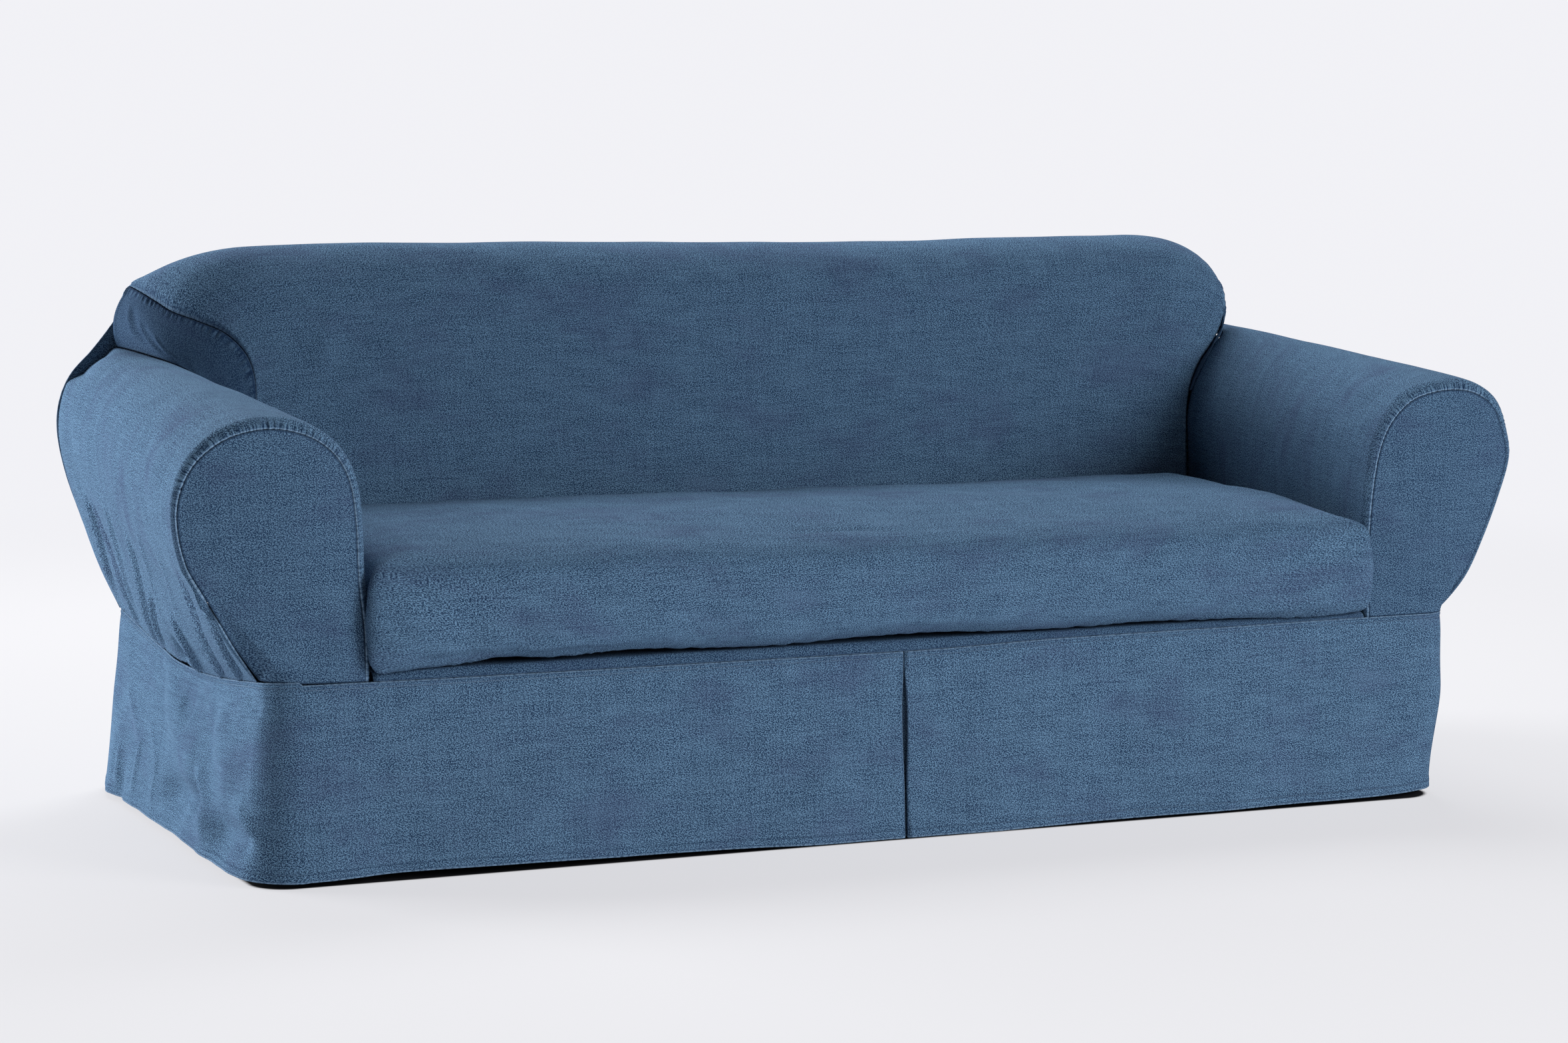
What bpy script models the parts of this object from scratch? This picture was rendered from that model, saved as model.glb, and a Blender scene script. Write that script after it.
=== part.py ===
"""Fitted slipcover for a two-arm sofa with one bench seat, cut from washed denim.

Every panel is its own thin closed sheet, formed to the shape in which it hangs.
Positions in the tables are given as the cover stands in a room: "across" runs from
the middle of the seat to the sitter's left (+), "depth" runs from the skirt's front
seam to the rear, and "height" is above the floor. The finished cover hangs from its
origin, which lies under the top of the back.
"""

import math
from typing import NamedTuple

import bmesh
import bpy
from mathutils import Vector

# ---- driving dimensions, in metres ----
CLOTH = 0.0020              # thickness of a hemmed, washed denim sheet
SEAM_GAP = 0.0006           # clear space between two sewn panels
SEAT_GAP = 0.0013           # clear space between an end of the back and its arm

SKIRT_LEFT = -1.000         # the side seams of the skirt, from the middle of the seat
SKIRT_RIGHT = 1.010
SKIRT_DEPTH = 0.916
CORNER_RADIUS = 0.045       # the skirt's front corners
REAR_CORNER_RADIUS = 0.018
SKIRT_TOP = 0.304            # the seam between the skirt and the cover, at its corners
REAR_SKIRT_TOP = 0.303
HEM_HEIGHT = 0.010

PLEAT_ACROSS = 0.017        # the kick pleat stands just right of the middle
PLEAT_WIDTH = 0.075         # how far each fold reaches behind the front layer
PLEAT_LAYER = 0.0050        # from one folded layer to the next
PLEAT_SPREAD = 0.0045       # half the opening at the hem

BACK_REAR_DEPTH = 0.905     # rear seam of the back and the arms
REAR_PANEL_DEPTH = 0.9077
REAR_PANEL_BULGE = 0.012

DECK_HEIGHT = 0.3120
DECK_REAR_DEPTH = 0.600

CUSHION_HALF_WIDTH = 0.8310
CUSHION_FRONT_DEPTH = -0.0300
CUSHION_REAR_DEPTH = 0.6020
CUSHION_BOTTOM = 0.3127
CUSHION_EDGE_TOP = 0.4480
CUSHION_CROWN = 0.0400
CUSHION_CORNER = 0.034
CUSHION_REAR_RISE = 0.017
CUSHION_FRONT_SPREAD = 0.0130   # the front corners swell past the arms' seams

HANGING_POINT = Vector((0.0, 0.800, 0.8945))   # under the top of the back


# ---- small shaping tools ----
def smoothstep(low, high, value):
    """Rise gently from 0 at low to 1 at high."""
    part = min(max((value - low) / (high - low), 0.0), 1.0)
    return part * part * (3.0 - 2.0 * part)


def hill(distance, width):
    """A soft bump, 1 in its middle and almost 0 at its width."""
    return math.exp(-3.0 * (distance / width) ** 2)


def mix(first, second, share):
    """Blend two numbers or vectors."""
    return first * (1.0 - share) + second * share


def smooth_value(values, place):
    """Read a smooth curve through evenly spaced values, place running from 0 to 1."""
    last = len(values) - 1
    step = min(max(place, 0.0), 1.0) * last
    index = min(int(step), last - 1)
    part = step - index
    before = values[max(index - 1, 0)]
    start = values[index]
    end = values[index + 1]
    after = values[min(index + 2, last)]
    slope_in = (end - before) * 0.5
    slope_out = (after - start) * 0.5
    ease = part * part * (3.0 - 2.0 * part)
    lead = part * (1.0 - part) ** 2
    trail = part * part * (1.0 - part)
    return start * (1.0 - ease) + end * ease + slope_in * lead - slope_out * trail


def read_table(rows, column, position, value):
    """Read a column between rows that are ordered by another column."""
    previous = rows[0]
    for row in rows:
        if getattr(row, column) >= position:
            span = getattr(row, column) - getattr(previous, column)
            share = smoothstep(0.0, 1.0, (position - getattr(previous, column)) / span) if span else 0.0
            return mix(getattr(previous, value), getattr(row, value), share)
        previous = row
    return getattr(previous, value)


# ---- materials ----
class Denim(NamedTuple):
    """The finish of one cut of the cloth."""
    name: str
    colour: tuple


DENIM_FACE = Denim("denim_face", (0.115, 0.205, 0.370, 1.0))
DENIM_SHADE = Denim("denim_shade", (0.085, 0.155, 0.290, 1.0))


def cloth_material(finish, node_name):
    """A rough, woven blue for one panel."""
    material = bpy.data.materials.new(f"{finish.name}_{node_name}")
    material.use_nodes = True
    shader = material.node_tree.nodes["Principled BSDF"]
    shader.inputs["Base Color"].default_value = finish.colour
    shader.inputs["Roughness"].default_value = 0.92
    shader.inputs["Metallic"].default_value = 0.0
    return material


# ---- the sheet maker that every panel uses ----
def make_panel(name, columns, rows, place, finish, parent, inward=-1.0):
    """Shape a grid by place(u, v), close its seams and give it the cloth's thickness."""
    work = bmesh.new()
    bmesh.ops.create_grid(work, x_segments=columns, y_segments=rows, size=0.5)
    for vertex in work.verts:
        vertex.co = place(vertex.co.x + 0.5, vertex.co.y + 0.5)
    bmesh.ops.remove_doubles(work, verts=work.verts[:], dist=0.00001)
    mesh = bpy.data.meshes.new(name)
    work.to_mesh(mesh)
    work.free()
    mesh.shade_smooth()
    panel = bpy.data.objects.new(name, mesh)
    bpy.context.scene.collection.objects.link(panel)
    panel.parent = parent
    panel.data.materials.append(cloth_material(finish, name))
    thickness = panel.modifiers.new("cloth thickness", "SOLIDIFY")
    thickness.thickness = CLOTH
    thickness.offset = inward
    thickness.use_even_offset = False
    return panel


# ---- arms ----
class ArmStation(NamedTuple):
    """One station round an arm, from the seat over the roll to the skirt."""
    where: str
    seam_across: float      # the front panel's seam
    seam_depth: float
    seam_height: float
    roll: float             # radius of the rolled front edge
    rear_across: float      # the same station at the rear seam
    rear_height: float
    end_depth: float        # where the arm's sheet stops at the back


LEFT_ARM = [
    ArmStation("inner foot", 0.852, 0.000, 0.2988, 0.008, 0.852, 0.306, 0.612),
    ArmStation("inner low", 0.853, 0.000, 0.370, 0.014, 0.856, 0.400, 0.617),
    ArmStation("inner middle", 0.861, 0.000, 0.450, 0.022, 0.860, 0.500, 0.625),
    ArmStation("inner high", 0.864, 0.000, 0.530, 0.025, 0.862, 0.590, 0.640),
    ArmStation("roll in", 0.872, 0.000, 0.590, 0.026, 0.875, 0.645, 0.650),
    ArmStation("roll up", 0.892, 0.000, 0.631, 0.027, 0.896, 0.683, 0.660),
    ArmStation("inner shoulder", 0.926, 0.000, 0.659, 0.028, 0.928, 0.714, 0.672),
    ArmStation("top in", 0.972, 0.000, 0.674, 0.030, 0.966, 0.734, 0.718),
    ArmStation("top", 1.018, 0.000, 0.674, 0.030, 1.000, 0.738, 0.890),
    ArmStation("top out", 1.064, 0.000, 0.660, 0.028, 1.035, 0.731, 0.905),
    ArmStation("outer shoulder", 1.103, 0.000, 0.630, 0.024, 1.070, 0.702, 0.905),
    ArmStation("roll out", 1.126, 0.000, 0.588, 0.020, 1.092, 0.655, 0.905),
    ArmStation("widest", 1.131, 0.000, 0.540, 0.018, 1.098, 0.598, 0.905),
    ArmStation("under the roll", 1.117, 0.000, 0.478, 0.016, 1.086, 0.530, 0.905),
    ArmStation("outer high", 1.082, 0.002, 0.418, 0.013, 1.062, 0.455, 0.905),
    ArmStation("outer low", 1.046, 0.018, 0.360, 0.009, 1.034, 0.375, 0.905),
    ArmStation("outer foot", 1.0005, 0.058, 0.3042, 0.001, 1.0005, 0.3042, 0.905),
]

RIGHT_ARM = [
    ArmStation("inner foot", 0.852, 0.000, 0.3038, 0.008, 0.855, 0.306, 0.612),
    ArmStation("inner low", 0.850, 0.000, 0.370, 0.012, 0.858, 0.400, 0.617),
    ArmStation("inner middle", 0.851, 0.000, 0.450, 0.016, 0.862, 0.500, 0.625),
    ArmStation("inner high", 0.859, 0.000, 0.532, 0.020, 0.868, 0.590, 0.643),
    ArmStation("roll in", 0.872, 0.000, 0.588, 0.022, 0.884, 0.640, 0.652),
    ArmStation("roll up", 0.894, 0.000, 0.627, 0.024, 0.910, 0.680, 0.660),
    ArmStation("inner shoulder", 0.928, 0.000, 0.654, 0.028, 0.940, 0.710, 0.680),
    ArmStation("top in", 0.968, 0.000, 0.664, 0.030, 0.970, 0.733, 0.716),
    ArmStation("top", 1.008, 0.000, 0.666, 0.032, 1.000, 0.737, 0.890),
    ArmStation("top out", 1.047, 0.000, 0.657, 0.030, 1.034, 0.724, 0.905),
    ArmStation("outer shoulder", 1.081, 0.000, 0.635, 0.028, 1.068, 0.700, 0.905),
    ArmStation("roll out", 1.101, 0.000, 0.600, 0.024, 1.092, 0.655, 0.905),
    ArmStation("widest", 1.107, 0.000, 0.555, 0.020, 1.098, 0.598, 0.905),
    ArmStation("under the roll", 1.091, 0.000, 0.492, 0.018, 1.084, 0.530, 0.905),
    ArmStation("outer high", 1.066, 0.000, 0.425, 0.014, 1.062, 0.455, 0.905),
    ArmStation("outer low", 1.044, 0.006, 0.362, 0.009, 1.036, 0.375, 0.905),
    ArmStation("outer foot", 1.0105, 0.046, 0.3042, 0.001, 1.0105, 0.3042, 0.905),
]

ARM_COLUMNS = 30
ARM_ROWS = 14
ROLL_SHARE = 4 / ARM_ROWS   # the first rows turn the front edge
TAPER_POWER = 0.85          # an arm changes section sooner near its front
OUTLINE_STEP = 0.01         # share of an arm's outline used to find its direction
FOOT_START = 0.78           # below this share an arm's sheet follows the side seam
DRAG_OVERRUN = 0.4          # a drag fold fades out this far past its two ends


class Drag(NamedTuple):
    """A slack fold pulled across the outside of an arm, from its start to its end."""
    where: str
    start_round: float      # share of the way round the arm
    start_depth: float
    end_round: float
    end_depth: float
    width: float
    lift: float             # + stands out, - sinks in


LEFT_ARM_DRAGS = [
    Drag("front fold", 0.84, 0.25, 0.99, 0.10, 0.030, 0.009),
    Drag("front pocket", 0.86, 0.33, 1.00, 0.19, 0.026, -0.012),
    Drag("second fold", 0.87, 0.44, 0.99, 0.29, 0.032, 0.010),
    Drag("third fold", 0.88, 0.66, 0.98, 0.56, 0.050, 0.006),
    Drag("rear hollow", 0.78, 0.84, 0.93, 0.72, 0.045, -0.006),
    Drag("rear top dip", 0.50, 0.93, 0.66, 0.93, 0.150, -0.017),
]

RIGHT_ARM_DRAGS = [
    Drag("outer fold", 0.84, 0.34, 0.98, 0.20, 0.045, 0.006),
    Drag("rear hollow", 0.80, 0.76, 0.95, 0.66, 0.050, -0.006),
]


class Arm(NamedTuple):
    """An arm's side, its stations and its drag folds."""
    name: str
    side: float
    stations: list
    drags: list
    side_seam_sag: float


ARMS = [
    Arm("left", -1.0, LEFT_ARM, LEFT_ARM_DRAGS, 0.036),
    Arm("right", 1.0, RIGHT_ARM, RIGHT_ARM_DRAGS, 0.022),
]


def station(arm, column, round_share):
    """Read one column of an arm's table, round_share running over its stations."""
    values = [getattr(row, column) for row in arm.stations]
    return smooth_value(values, round_share)


def front_seam(arm, round_share):
    """The seam between an arm's sheet and its front panel."""
    return Vector((
        arm.side * station(arm, "seam_across", round_share),
        station(arm, "seam_depth", round_share),
        station(arm, "seam_height", round_share),
    ))


def outward(arm, round_share):
    """The direction square to the arm's outline, seen from the front."""
    before = front_seam(arm, max(round_share - OUTLINE_STEP, 0.0))
    after = front_seam(arm, min(round_share + OUTLINE_STEP, 1.0))
    run = after - before
    normal = Vector((-arm.side * run.z, 0.0, arm.side * run.x))
    return normal.normalized()


def side_sag(arm, depth):
    """How far the side seam of the skirt hangs below its corners."""
    along = min(max(depth / SKIRT_DEPTH, 0.0), 1.0)
    return arm.side_seam_sag * math.sin(math.pi * along) ** 1.2


def arm_surface(arm, round_share, along):
    """A point of an arm's sheet: round_share from seat to skirt, along from front to rear."""
    seam = front_seam(arm, round_share)
    normal = outward(arm, round_share)
    roll = station(arm, "roll", round_share)
    if along <= ROLL_SHARE:
        angle = along / ROLL_SHARE * math.pi * 0.5
        depth = seam.y + roll * (1.0 - math.cos(angle))
        point = seam + normal * roll * math.sin(angle)
        point.y = depth
        section = 0.0
    else:
        start = seam.y + roll
        end = min(station(arm, "end_depth", round_share), BACK_REAR_DEPTH)
        depth = mix(start, end, (along - ROLL_SHARE) / (1.0 - ROLL_SHARE))
        section = (depth - start) / (BACK_REAR_DEPTH - start)
        front = seam + normal * roll
        rear = Vector((
            arm.side * station(arm, "rear_across", round_share),
            0.0,
            station(arm, "rear_height", round_share),
        ))
        point = mix(front, rear, section ** TAPER_POWER)
        point.y = depth
    foot = smoothstep(FOOT_START, 1.0, round_share)
    point.z -= side_sag(arm, depth) * foot
    for drag in arm.drags:
        reach = (round_share - drag.start_round) / (drag.end_round - drag.start_round)
        if -DRAG_OVERRUN < reach < 1.0 + DRAG_OVERRUN:
            middle = mix(drag.start_depth, drag.end_depth, reach)
            fade = smoothstep(-DRAG_OVERRUN, 0.3, reach) * smoothstep(1.0 + DRAG_OVERRUN, 0.9, reach)
            point += normal * drag.lift * fade * hill(depth - middle, drag.width)
    return point


def arm_sheet(arm, parent):
    """The long sheet over an arm, from the seat to the skirt."""
    def place(u, v):
        round_share = u if arm.side > 0.0 else 1.0 - u
        return arm_surface(arm, round_share, v)
    return make_panel(f"arm_{arm.name}", ARM_COLUMNS, ARM_ROWS, place, DENIM_FACE, parent)


FRONT_RINGS = 3
FRONT_CROWN = 0.009
FRONT_FOOT_COLUMNS = 5
FRONT_CENTRE_HEIGHT = 0.520
FRONT_CENTRE_ACROSS = 0.985
FRONT_FOOT_TUCK = 0.0016    # extra space at the two lower corners, where sheets turn
FRONT_TUCK_REACH = 0.10
CORNER_SHARE = 0.5          # share of a front panel's foot that turns the corner


def arm_front_outline(arm, around):
    """The edge of a front panel: up and over the seam, then back along its foot."""
    seam_share = ARM_COLUMNS / (ARM_COLUMNS + FRONT_FOOT_COLUMNS)
    if around <= seam_share:
        return front_seam(arm, around / seam_share)
    share = (around - seam_share) / (1.0 - seam_share)
    outer = front_seam(arm, 1.0)
    inner = front_seam(arm, 0.0)
    bend = abs(outer.x) - CORNER_RADIUS
    height = mix(outer.z, inner.z, share)
    if share < CORNER_SHARE:
        angle = share / CORNER_SHARE * math.pi * 0.5
        depth = outer.y * (1.0 - math.sin(angle))
        return Vector((arm.side * (bend + CORNER_RADIUS * math.cos(angle)), depth, height))
    across = mix(bend, abs(inner.x), (share - CORNER_SHARE) / (1.0 - CORNER_SHARE))
    return Vector((arm.side * across, 0.0, height))


def arm_front(arm, parent):
    """A pear-shaped front panel, slightly crowned inside its seam."""
    centre = Vector((arm.side * FRONT_CENTRE_ACROSS, -FRONT_CROWN, FRONT_CENTRE_HEIGHT))
    seam_share = ARM_COLUMNS / (ARM_COLUMNS + FRONT_FOOT_COLUMNS)

    def place(u, v):
        around = u if arm.side < 0.0 else 1.0 - u
        edge = arm_front_outline(arm, around)
        toward = centre - edge
        toward.y = 0.0
        foot = max(hill(around - end, FRONT_TUCK_REACH) for end in (0.0, seam_share, 1.0))
        edge += toward.normalized() * (SEAM_GAP + FRONT_FOOT_TUCK * foot)
        if v >= 1.0 - 1e-6:
            return centre
        point = mix(edge, centre, v)
        point.y = mix(edge.y, 0.0, smoothstep(0.0, 0.5, v)) - FRONT_CROWN * (1.0 - (1.0 - v) ** 2)
        return point
    return make_panel(
        f"arm_front_{arm.name}", ARM_COLUMNS + FRONT_FOOT_COLUMNS, FRONT_RINGS, place, DENIM_FACE, parent
    )


# ---- back ----
class BackLevel(NamedTuple):
    """One level of the back cover, from its foot over the top to the rear seam."""
    where: str
    middle_depth: float
    middle_height: float
    left_across: float      # the seams with the end panels
    left_depth: float
    left_height: float
    right_across: float
    right_depth: float
    right_height: float


BACK_LEVELS = [
    BackLevel("foot", 0.604, 0.3135, 0.8470, 0.606, 0.3135, 0.8490, 0.606, 0.3135),
    BackLevel("seat line", 0.616, 0.480, 0.8505, 0.618, 0.480, 0.8515, 0.622, 0.480),
    BackLevel("lower", 0.642, 0.600, 0.852, 0.638, 0.598, 0.863, 0.650, 0.600),
    BackLevel("crease", 0.660, 0.680, 0.832, 0.652, 0.668, 0.884, 0.672, 0.664),
    BackLevel("face", 0.674, 0.745, 0.838, 0.668, 0.728, 0.926, 0.696, 0.712),
    BackLevel("upper face", 0.690, 0.806, 0.868, 0.690, 0.768, 0.960, 0.716, 0.752),
    BackLevel("front roll", 0.712, 0.856, 0.908, 0.724, 0.789, 0.976, 0.734, 0.786),
    BackLevel("top front", 0.748, 0.887, 0.938, 0.762, 0.802, 0.980, 0.766, 0.812),
    BackLevel("top", 0.797, 0.899, 0.955, 0.805, 0.817, 0.978, 0.808, 0.830),
    BackLevel("top rear", 0.850, 0.892, 0.968, 0.852, 0.830, 0.970, 0.856, 0.838),
    BackLevel("rear seam", 0.905, 0.866, 0.975, 0.902, 0.838, 0.970, 0.904, 0.840),
]

BACK_COLUMNS = 32
BACK_ROWS = 17
SHOULDER_START = 0.84       # share of the half width where the shoulder begins to fall
BACK_SLACK = 0.004          # the soft rise and fall of the back's face
BACK_EVENNESS = 0.55        # how much the columns crowd towards the two ends


def back_seam(side, level_share):
    """The seam at one end of the back cover."""
    word = "left" if side < 0.0 else "right"
    across = smooth_value([getattr(row, f"{word}_across") for row in BACK_LEVELS], level_share)
    depth = smooth_value([getattr(row, f"{word}_depth") for row in BACK_LEVELS], level_share)
    height = smooth_value([getattr(row, f"{word}_height") for row in BACK_LEVELS], level_share)
    return Vector((side * across, depth, height))


def back_surface(span, level_share):
    """A point of the back cover: span from -1 at the left to 1 at the right."""
    side = -1.0 if span < 0.0 else 1.0
    seam = back_seam(side, level_share)
    middle = Vector((
        0.0,
        smooth_value([row.middle_depth for row in BACK_LEVELS], level_share),
        smooth_value([row.middle_height for row in BACK_LEVELS], level_share),
    ))
    share = max(abs(span) - SHOULDER_START, 0.0) / (1.0 - SHOULDER_START)
    fall = 1.0 - math.sqrt(max(1.0 - share * share, 0.0))
    slack = BACK_SLACK * math.cos(span * math.pi * 1.5) * math.sin(level_share * math.pi)
    return Vector((
        seam.x * abs(span),
        mix(middle.y, seam.y, fall) - slack,
        mix(middle.z, seam.z, fall) - slack,
    ))


def back_cover(parent):
    """The inside back, carried over the top."""
    def place(u, v):
        ends = math.sin((u - 0.5) * math.pi)
        span = mix(2.0 * u - 1.0, ends, BACK_EVENNESS)
        return back_surface(span, v)
    return make_panel("back_cover", BACK_COLUMNS, BACK_ROWS, place, DENIM_FACE, parent)


END_FIRST_ROW = 4           # the row of the back cover where its end panels begin
END_COLUMNS = BACK_ROWS - END_FIRST_ROW
END_ROWS = 7
END_SEAM_GAP = 0.0014
END_NARROW = 0.020          # an end panel narrower than this lies flat
END_WIDE = 0.080            # and puffs out fully from this width on
END_RIDE = 0.0020           # how far its narrow part rides clear of the arm
END_LEAN = 0.35             # share of the puff that also comes forward


class EndPanel(NamedTuple):
    """One end of the back, puffed out over its arm."""
    arm_start: float        # share of the way round the arm at its front
    arm_end: float          # and at its rear
    pace: float             # under 1 where it runs quickly over the arm's inner side
    puff: float
    gathers: float


END_PANELS = {
    "left": EndPanel(0.235, 0.500, 1.0, 0.016, 0.0040),
    "right": EndPanel(0.248, 0.500, 0.5, 0.014, 0.0035),
}


def end_surface(arm, along, down):
    """A point of an end panel: along its seam, down from the seam to the arm."""
    shape = END_PANELS[arm.name]
    level = mix(END_FIRST_ROW / BACK_ROWS, 1.0, along)
    upper = back_seam(arm.side, level)
    upper += Vector((arm.side * END_SEAM_GAP, 0.0, -END_SEAM_GAP))
    round_share = mix(shape.arm_start, shape.arm_end, along ** shape.pace)
    away = outward(arm, round_share)
    lower = arm_surface(arm, round_share, 1.0)
    lower += away * SEAT_GAP
    lower.y = min(lower.y, BACK_REAR_DEPTH - CLOTH)
    room = smoothstep(END_NARROW, END_WIDE, (lower - upper).length)
    puff = shape.puff * math.sin(math.pi * down) ** 0.8 * room
    fade = (1.0 - down) * math.sin(math.pi * down) ** 0.5
    gather = room * shape.gathers * math.cos(along * math.pi * END_COLUMNS) * fade
    point = mix(upper, lower, down)
    point.x += arm.side * (puff + gather)
    point.y -= END_LEAN * puff * (1.0 - along)
    point.z += gather
    lift = END_RIDE * (1.0 - room) * math.sin(math.pi * down)
    return point + away * lift


def back_end(arm, parent):
    """The gathered end of the back."""
    def place(u, v):
        along = u if arm.side > 0.0 else 1.0 - u
        return end_surface(arm, along, 1.0 - v)
    return make_panel(f"back_end_{arm.name}", END_COLUMNS, END_ROWS, place, DENIM_FACE, parent)


class RearLevel(NamedTuple):
    """One level of the rear panel's outline, from the top seam to the skirt."""
    where: str
    height: float
    left_across: float
    right_across: float


REAR_LEVELS = [
    RearLevel("top", 0.865, 0.900, 0.900),
    RearLevel("corner", 0.838, 0.976, 0.971),
    RearLevel("slope", 0.790, 0.996, 0.992),
    RearLevel("arm top", 0.738, 1.036, 1.032),
    RearLevel("arm shoulder", 0.695, 1.076, 1.074),
    RearLevel("arm roll", 0.650, 1.096, 1.096),
    RearLevel("widest", 0.598, 1.100, 1.100),
    RearLevel("under the roll", 0.530, 1.087, 1.085),
    RearLevel("high", 0.455, 1.062, 1.062),
    RearLevel("low", 0.375, 1.034, 1.036),
    RearLevel("foot", 0.3035, 1.001, 1.011),
]

REAR_COLUMNS = 12
REAR_ROWS = 13
REAR_TOP_TURN = 0.12        # share of the rear panel that turns in to the top seam
REAR_FOOT_TURN = 0.25       # and that runs out to the skirt
REAR_TOP_DROP = 0.001


def outside_back(parent):
    """The rear panel, as wide as the arms, closed at the top by the back's rear seam."""
    def place(u, v):
        span = 2.0 * u - 1.0
        share = 1.0 - v
        side = "left_across" if span > 0.0 else "right_across"
        across = smooth_value([getattr(row, side) for row in REAR_LEVELS], share)
        height = smooth_value([row.height for row in REAR_LEVELS], share)
        top = smoothstep(REAR_TOP_TURN, 0.0, share)
        top_edge = back_surface(-span, 1.0)
        bulge = REAR_PANEL_BULGE * (1.0 - span * span) * math.sin(math.pi * v) ** 0.7
        foot = smoothstep(REAR_FOOT_TURN, 0.0, v) * smoothstep(1.0, 0.95, abs(span))
        depth = REAR_PANEL_DEPTH + bulge + (SKIRT_DEPTH - REAR_PANEL_DEPTH) * foot
        return Vector((
            mix(-span * across, top_edge.x, top),
            mix(depth, top_edge.y + CLOTH + SEAM_GAP, top),
            mix(height, top_edge.z - REAR_TOP_DROP, top),
        ))
    return make_panel("outside_back", REAR_COLUMNS, REAR_ROWS, place, DENIM_SHADE, parent)


# ---- seat ----
DECK_COLUMNS = 12
DECK_ROWS = 5
DECK_HALF_WIDTH = 0.8410
DECK_TURN = 2 / DECK_ROWS
DECK_LIP_DEPTH = -0.0025     # the front edge, just proud of the skirt's seam
DECK_FRONT_DEPTH = 0.010


def deck(parent):
    """The panel under the cushion, its front edge turned down to the skirt seam."""
    def place(u, v):
        across = (2.0 * u - 1.0) * DECK_HALF_WIDTH
        if v < DECK_TURN:
            share = v / DECK_TURN
            height = mix(front_seam_height(across) + SEAM_GAP, DECK_HEIGHT, smoothstep(0.0, 1.0, share))
            return Vector((across, mix(DECK_LIP_DEPTH, DECK_FRONT_DEPTH, share * share), height))
        depth = mix(DECK_FRONT_DEPTH, DECK_REAR_DEPTH, (v - DECK_TURN) / (1.0 - DECK_TURN))
        return Vector((across, depth, DECK_HEIGHT))
    return make_panel("deck", DECK_COLUMNS, DECK_ROWS, place, DENIM_SHADE, parent)


class CushionRing(NamedTuple):
    """One ring of the cushion cover, from its top panel round to its drawn-in edge."""
    where: str
    inset: float
    height: float


CUSHION_RINGS = [
    CushionRing("top panel", 0.075, 0.030),
    CushionRing("shoulder", 0.032, 0.020),
    CushionRing("top edge", 0.009, 0.002),
    CushionRing("upper side", 0.000, -0.040),
    CushionRing("lower side", 0.002, -0.090),
    CushionRing("bottom edge", 0.010, -0.1180),
    CushionRing("turned under", 0.034, -0.1345),
    CushionRing("drawn-in edge", 0.085, -0.1353),
]

CUSHION_TOP_COLUMNS = 18
CUSHION_TOP_ROWS = 6
CUSHION_DOME_POWER = 2.6     # how flat the top is before it falls to its edges
CUSHION_LEAN = 0.008         # the left end stands a little higher
CUSHION_LEAST_CORNER = 0.012


class Pucker(NamedTuple):
    """Slack drawn in along the cushion's lower front edge."""
    where: str
    across: float
    width: float
    lift: float


CUSHION_PUCKERS = [
    Pucker("left corner", -0.800, 0.055, 0.007),
    Pucker("left tuck", -0.700, 0.050, -0.006),
    Pucker("left swell", -0.560, 0.090, 0.005),
    Pucker("middle tuck", -0.330, 0.080, -0.005),
    Pucker("middle swell", 0.120, 0.160, 0.004),
    Pucker("right tuck", 0.420, 0.080, -0.004),
    Pucker("right corner", 0.760, 0.070, 0.005),
]


def ring_point(a, b, inset):
    """A point on a rounded rectangle, inset from the cushion's outline."""
    half_width = CUSHION_HALF_WIDTH - inset
    half_depth = (CUSHION_REAR_DEPTH - CUSHION_FRONT_DEPTH) * 0.5 - inset
    corner = max(CUSHION_CORNER - inset * 0.5, CUSHION_LEAST_CORNER)
    across = a * half_width
    depth = b * half_depth
    over_across = abs(across) - (half_width - corner)
    over_depth = abs(depth) - (half_depth - corner)
    if over_across > 0.0 and over_depth > 0.0:
        larger = max(over_across, over_depth)
        pull = larger / math.hypot(over_across, over_depth)
        across = math.copysign(half_width - corner + over_across * pull, across)
        depth = math.copysign(half_depth - corner + over_depth * pull, depth)
    return across, depth


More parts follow.
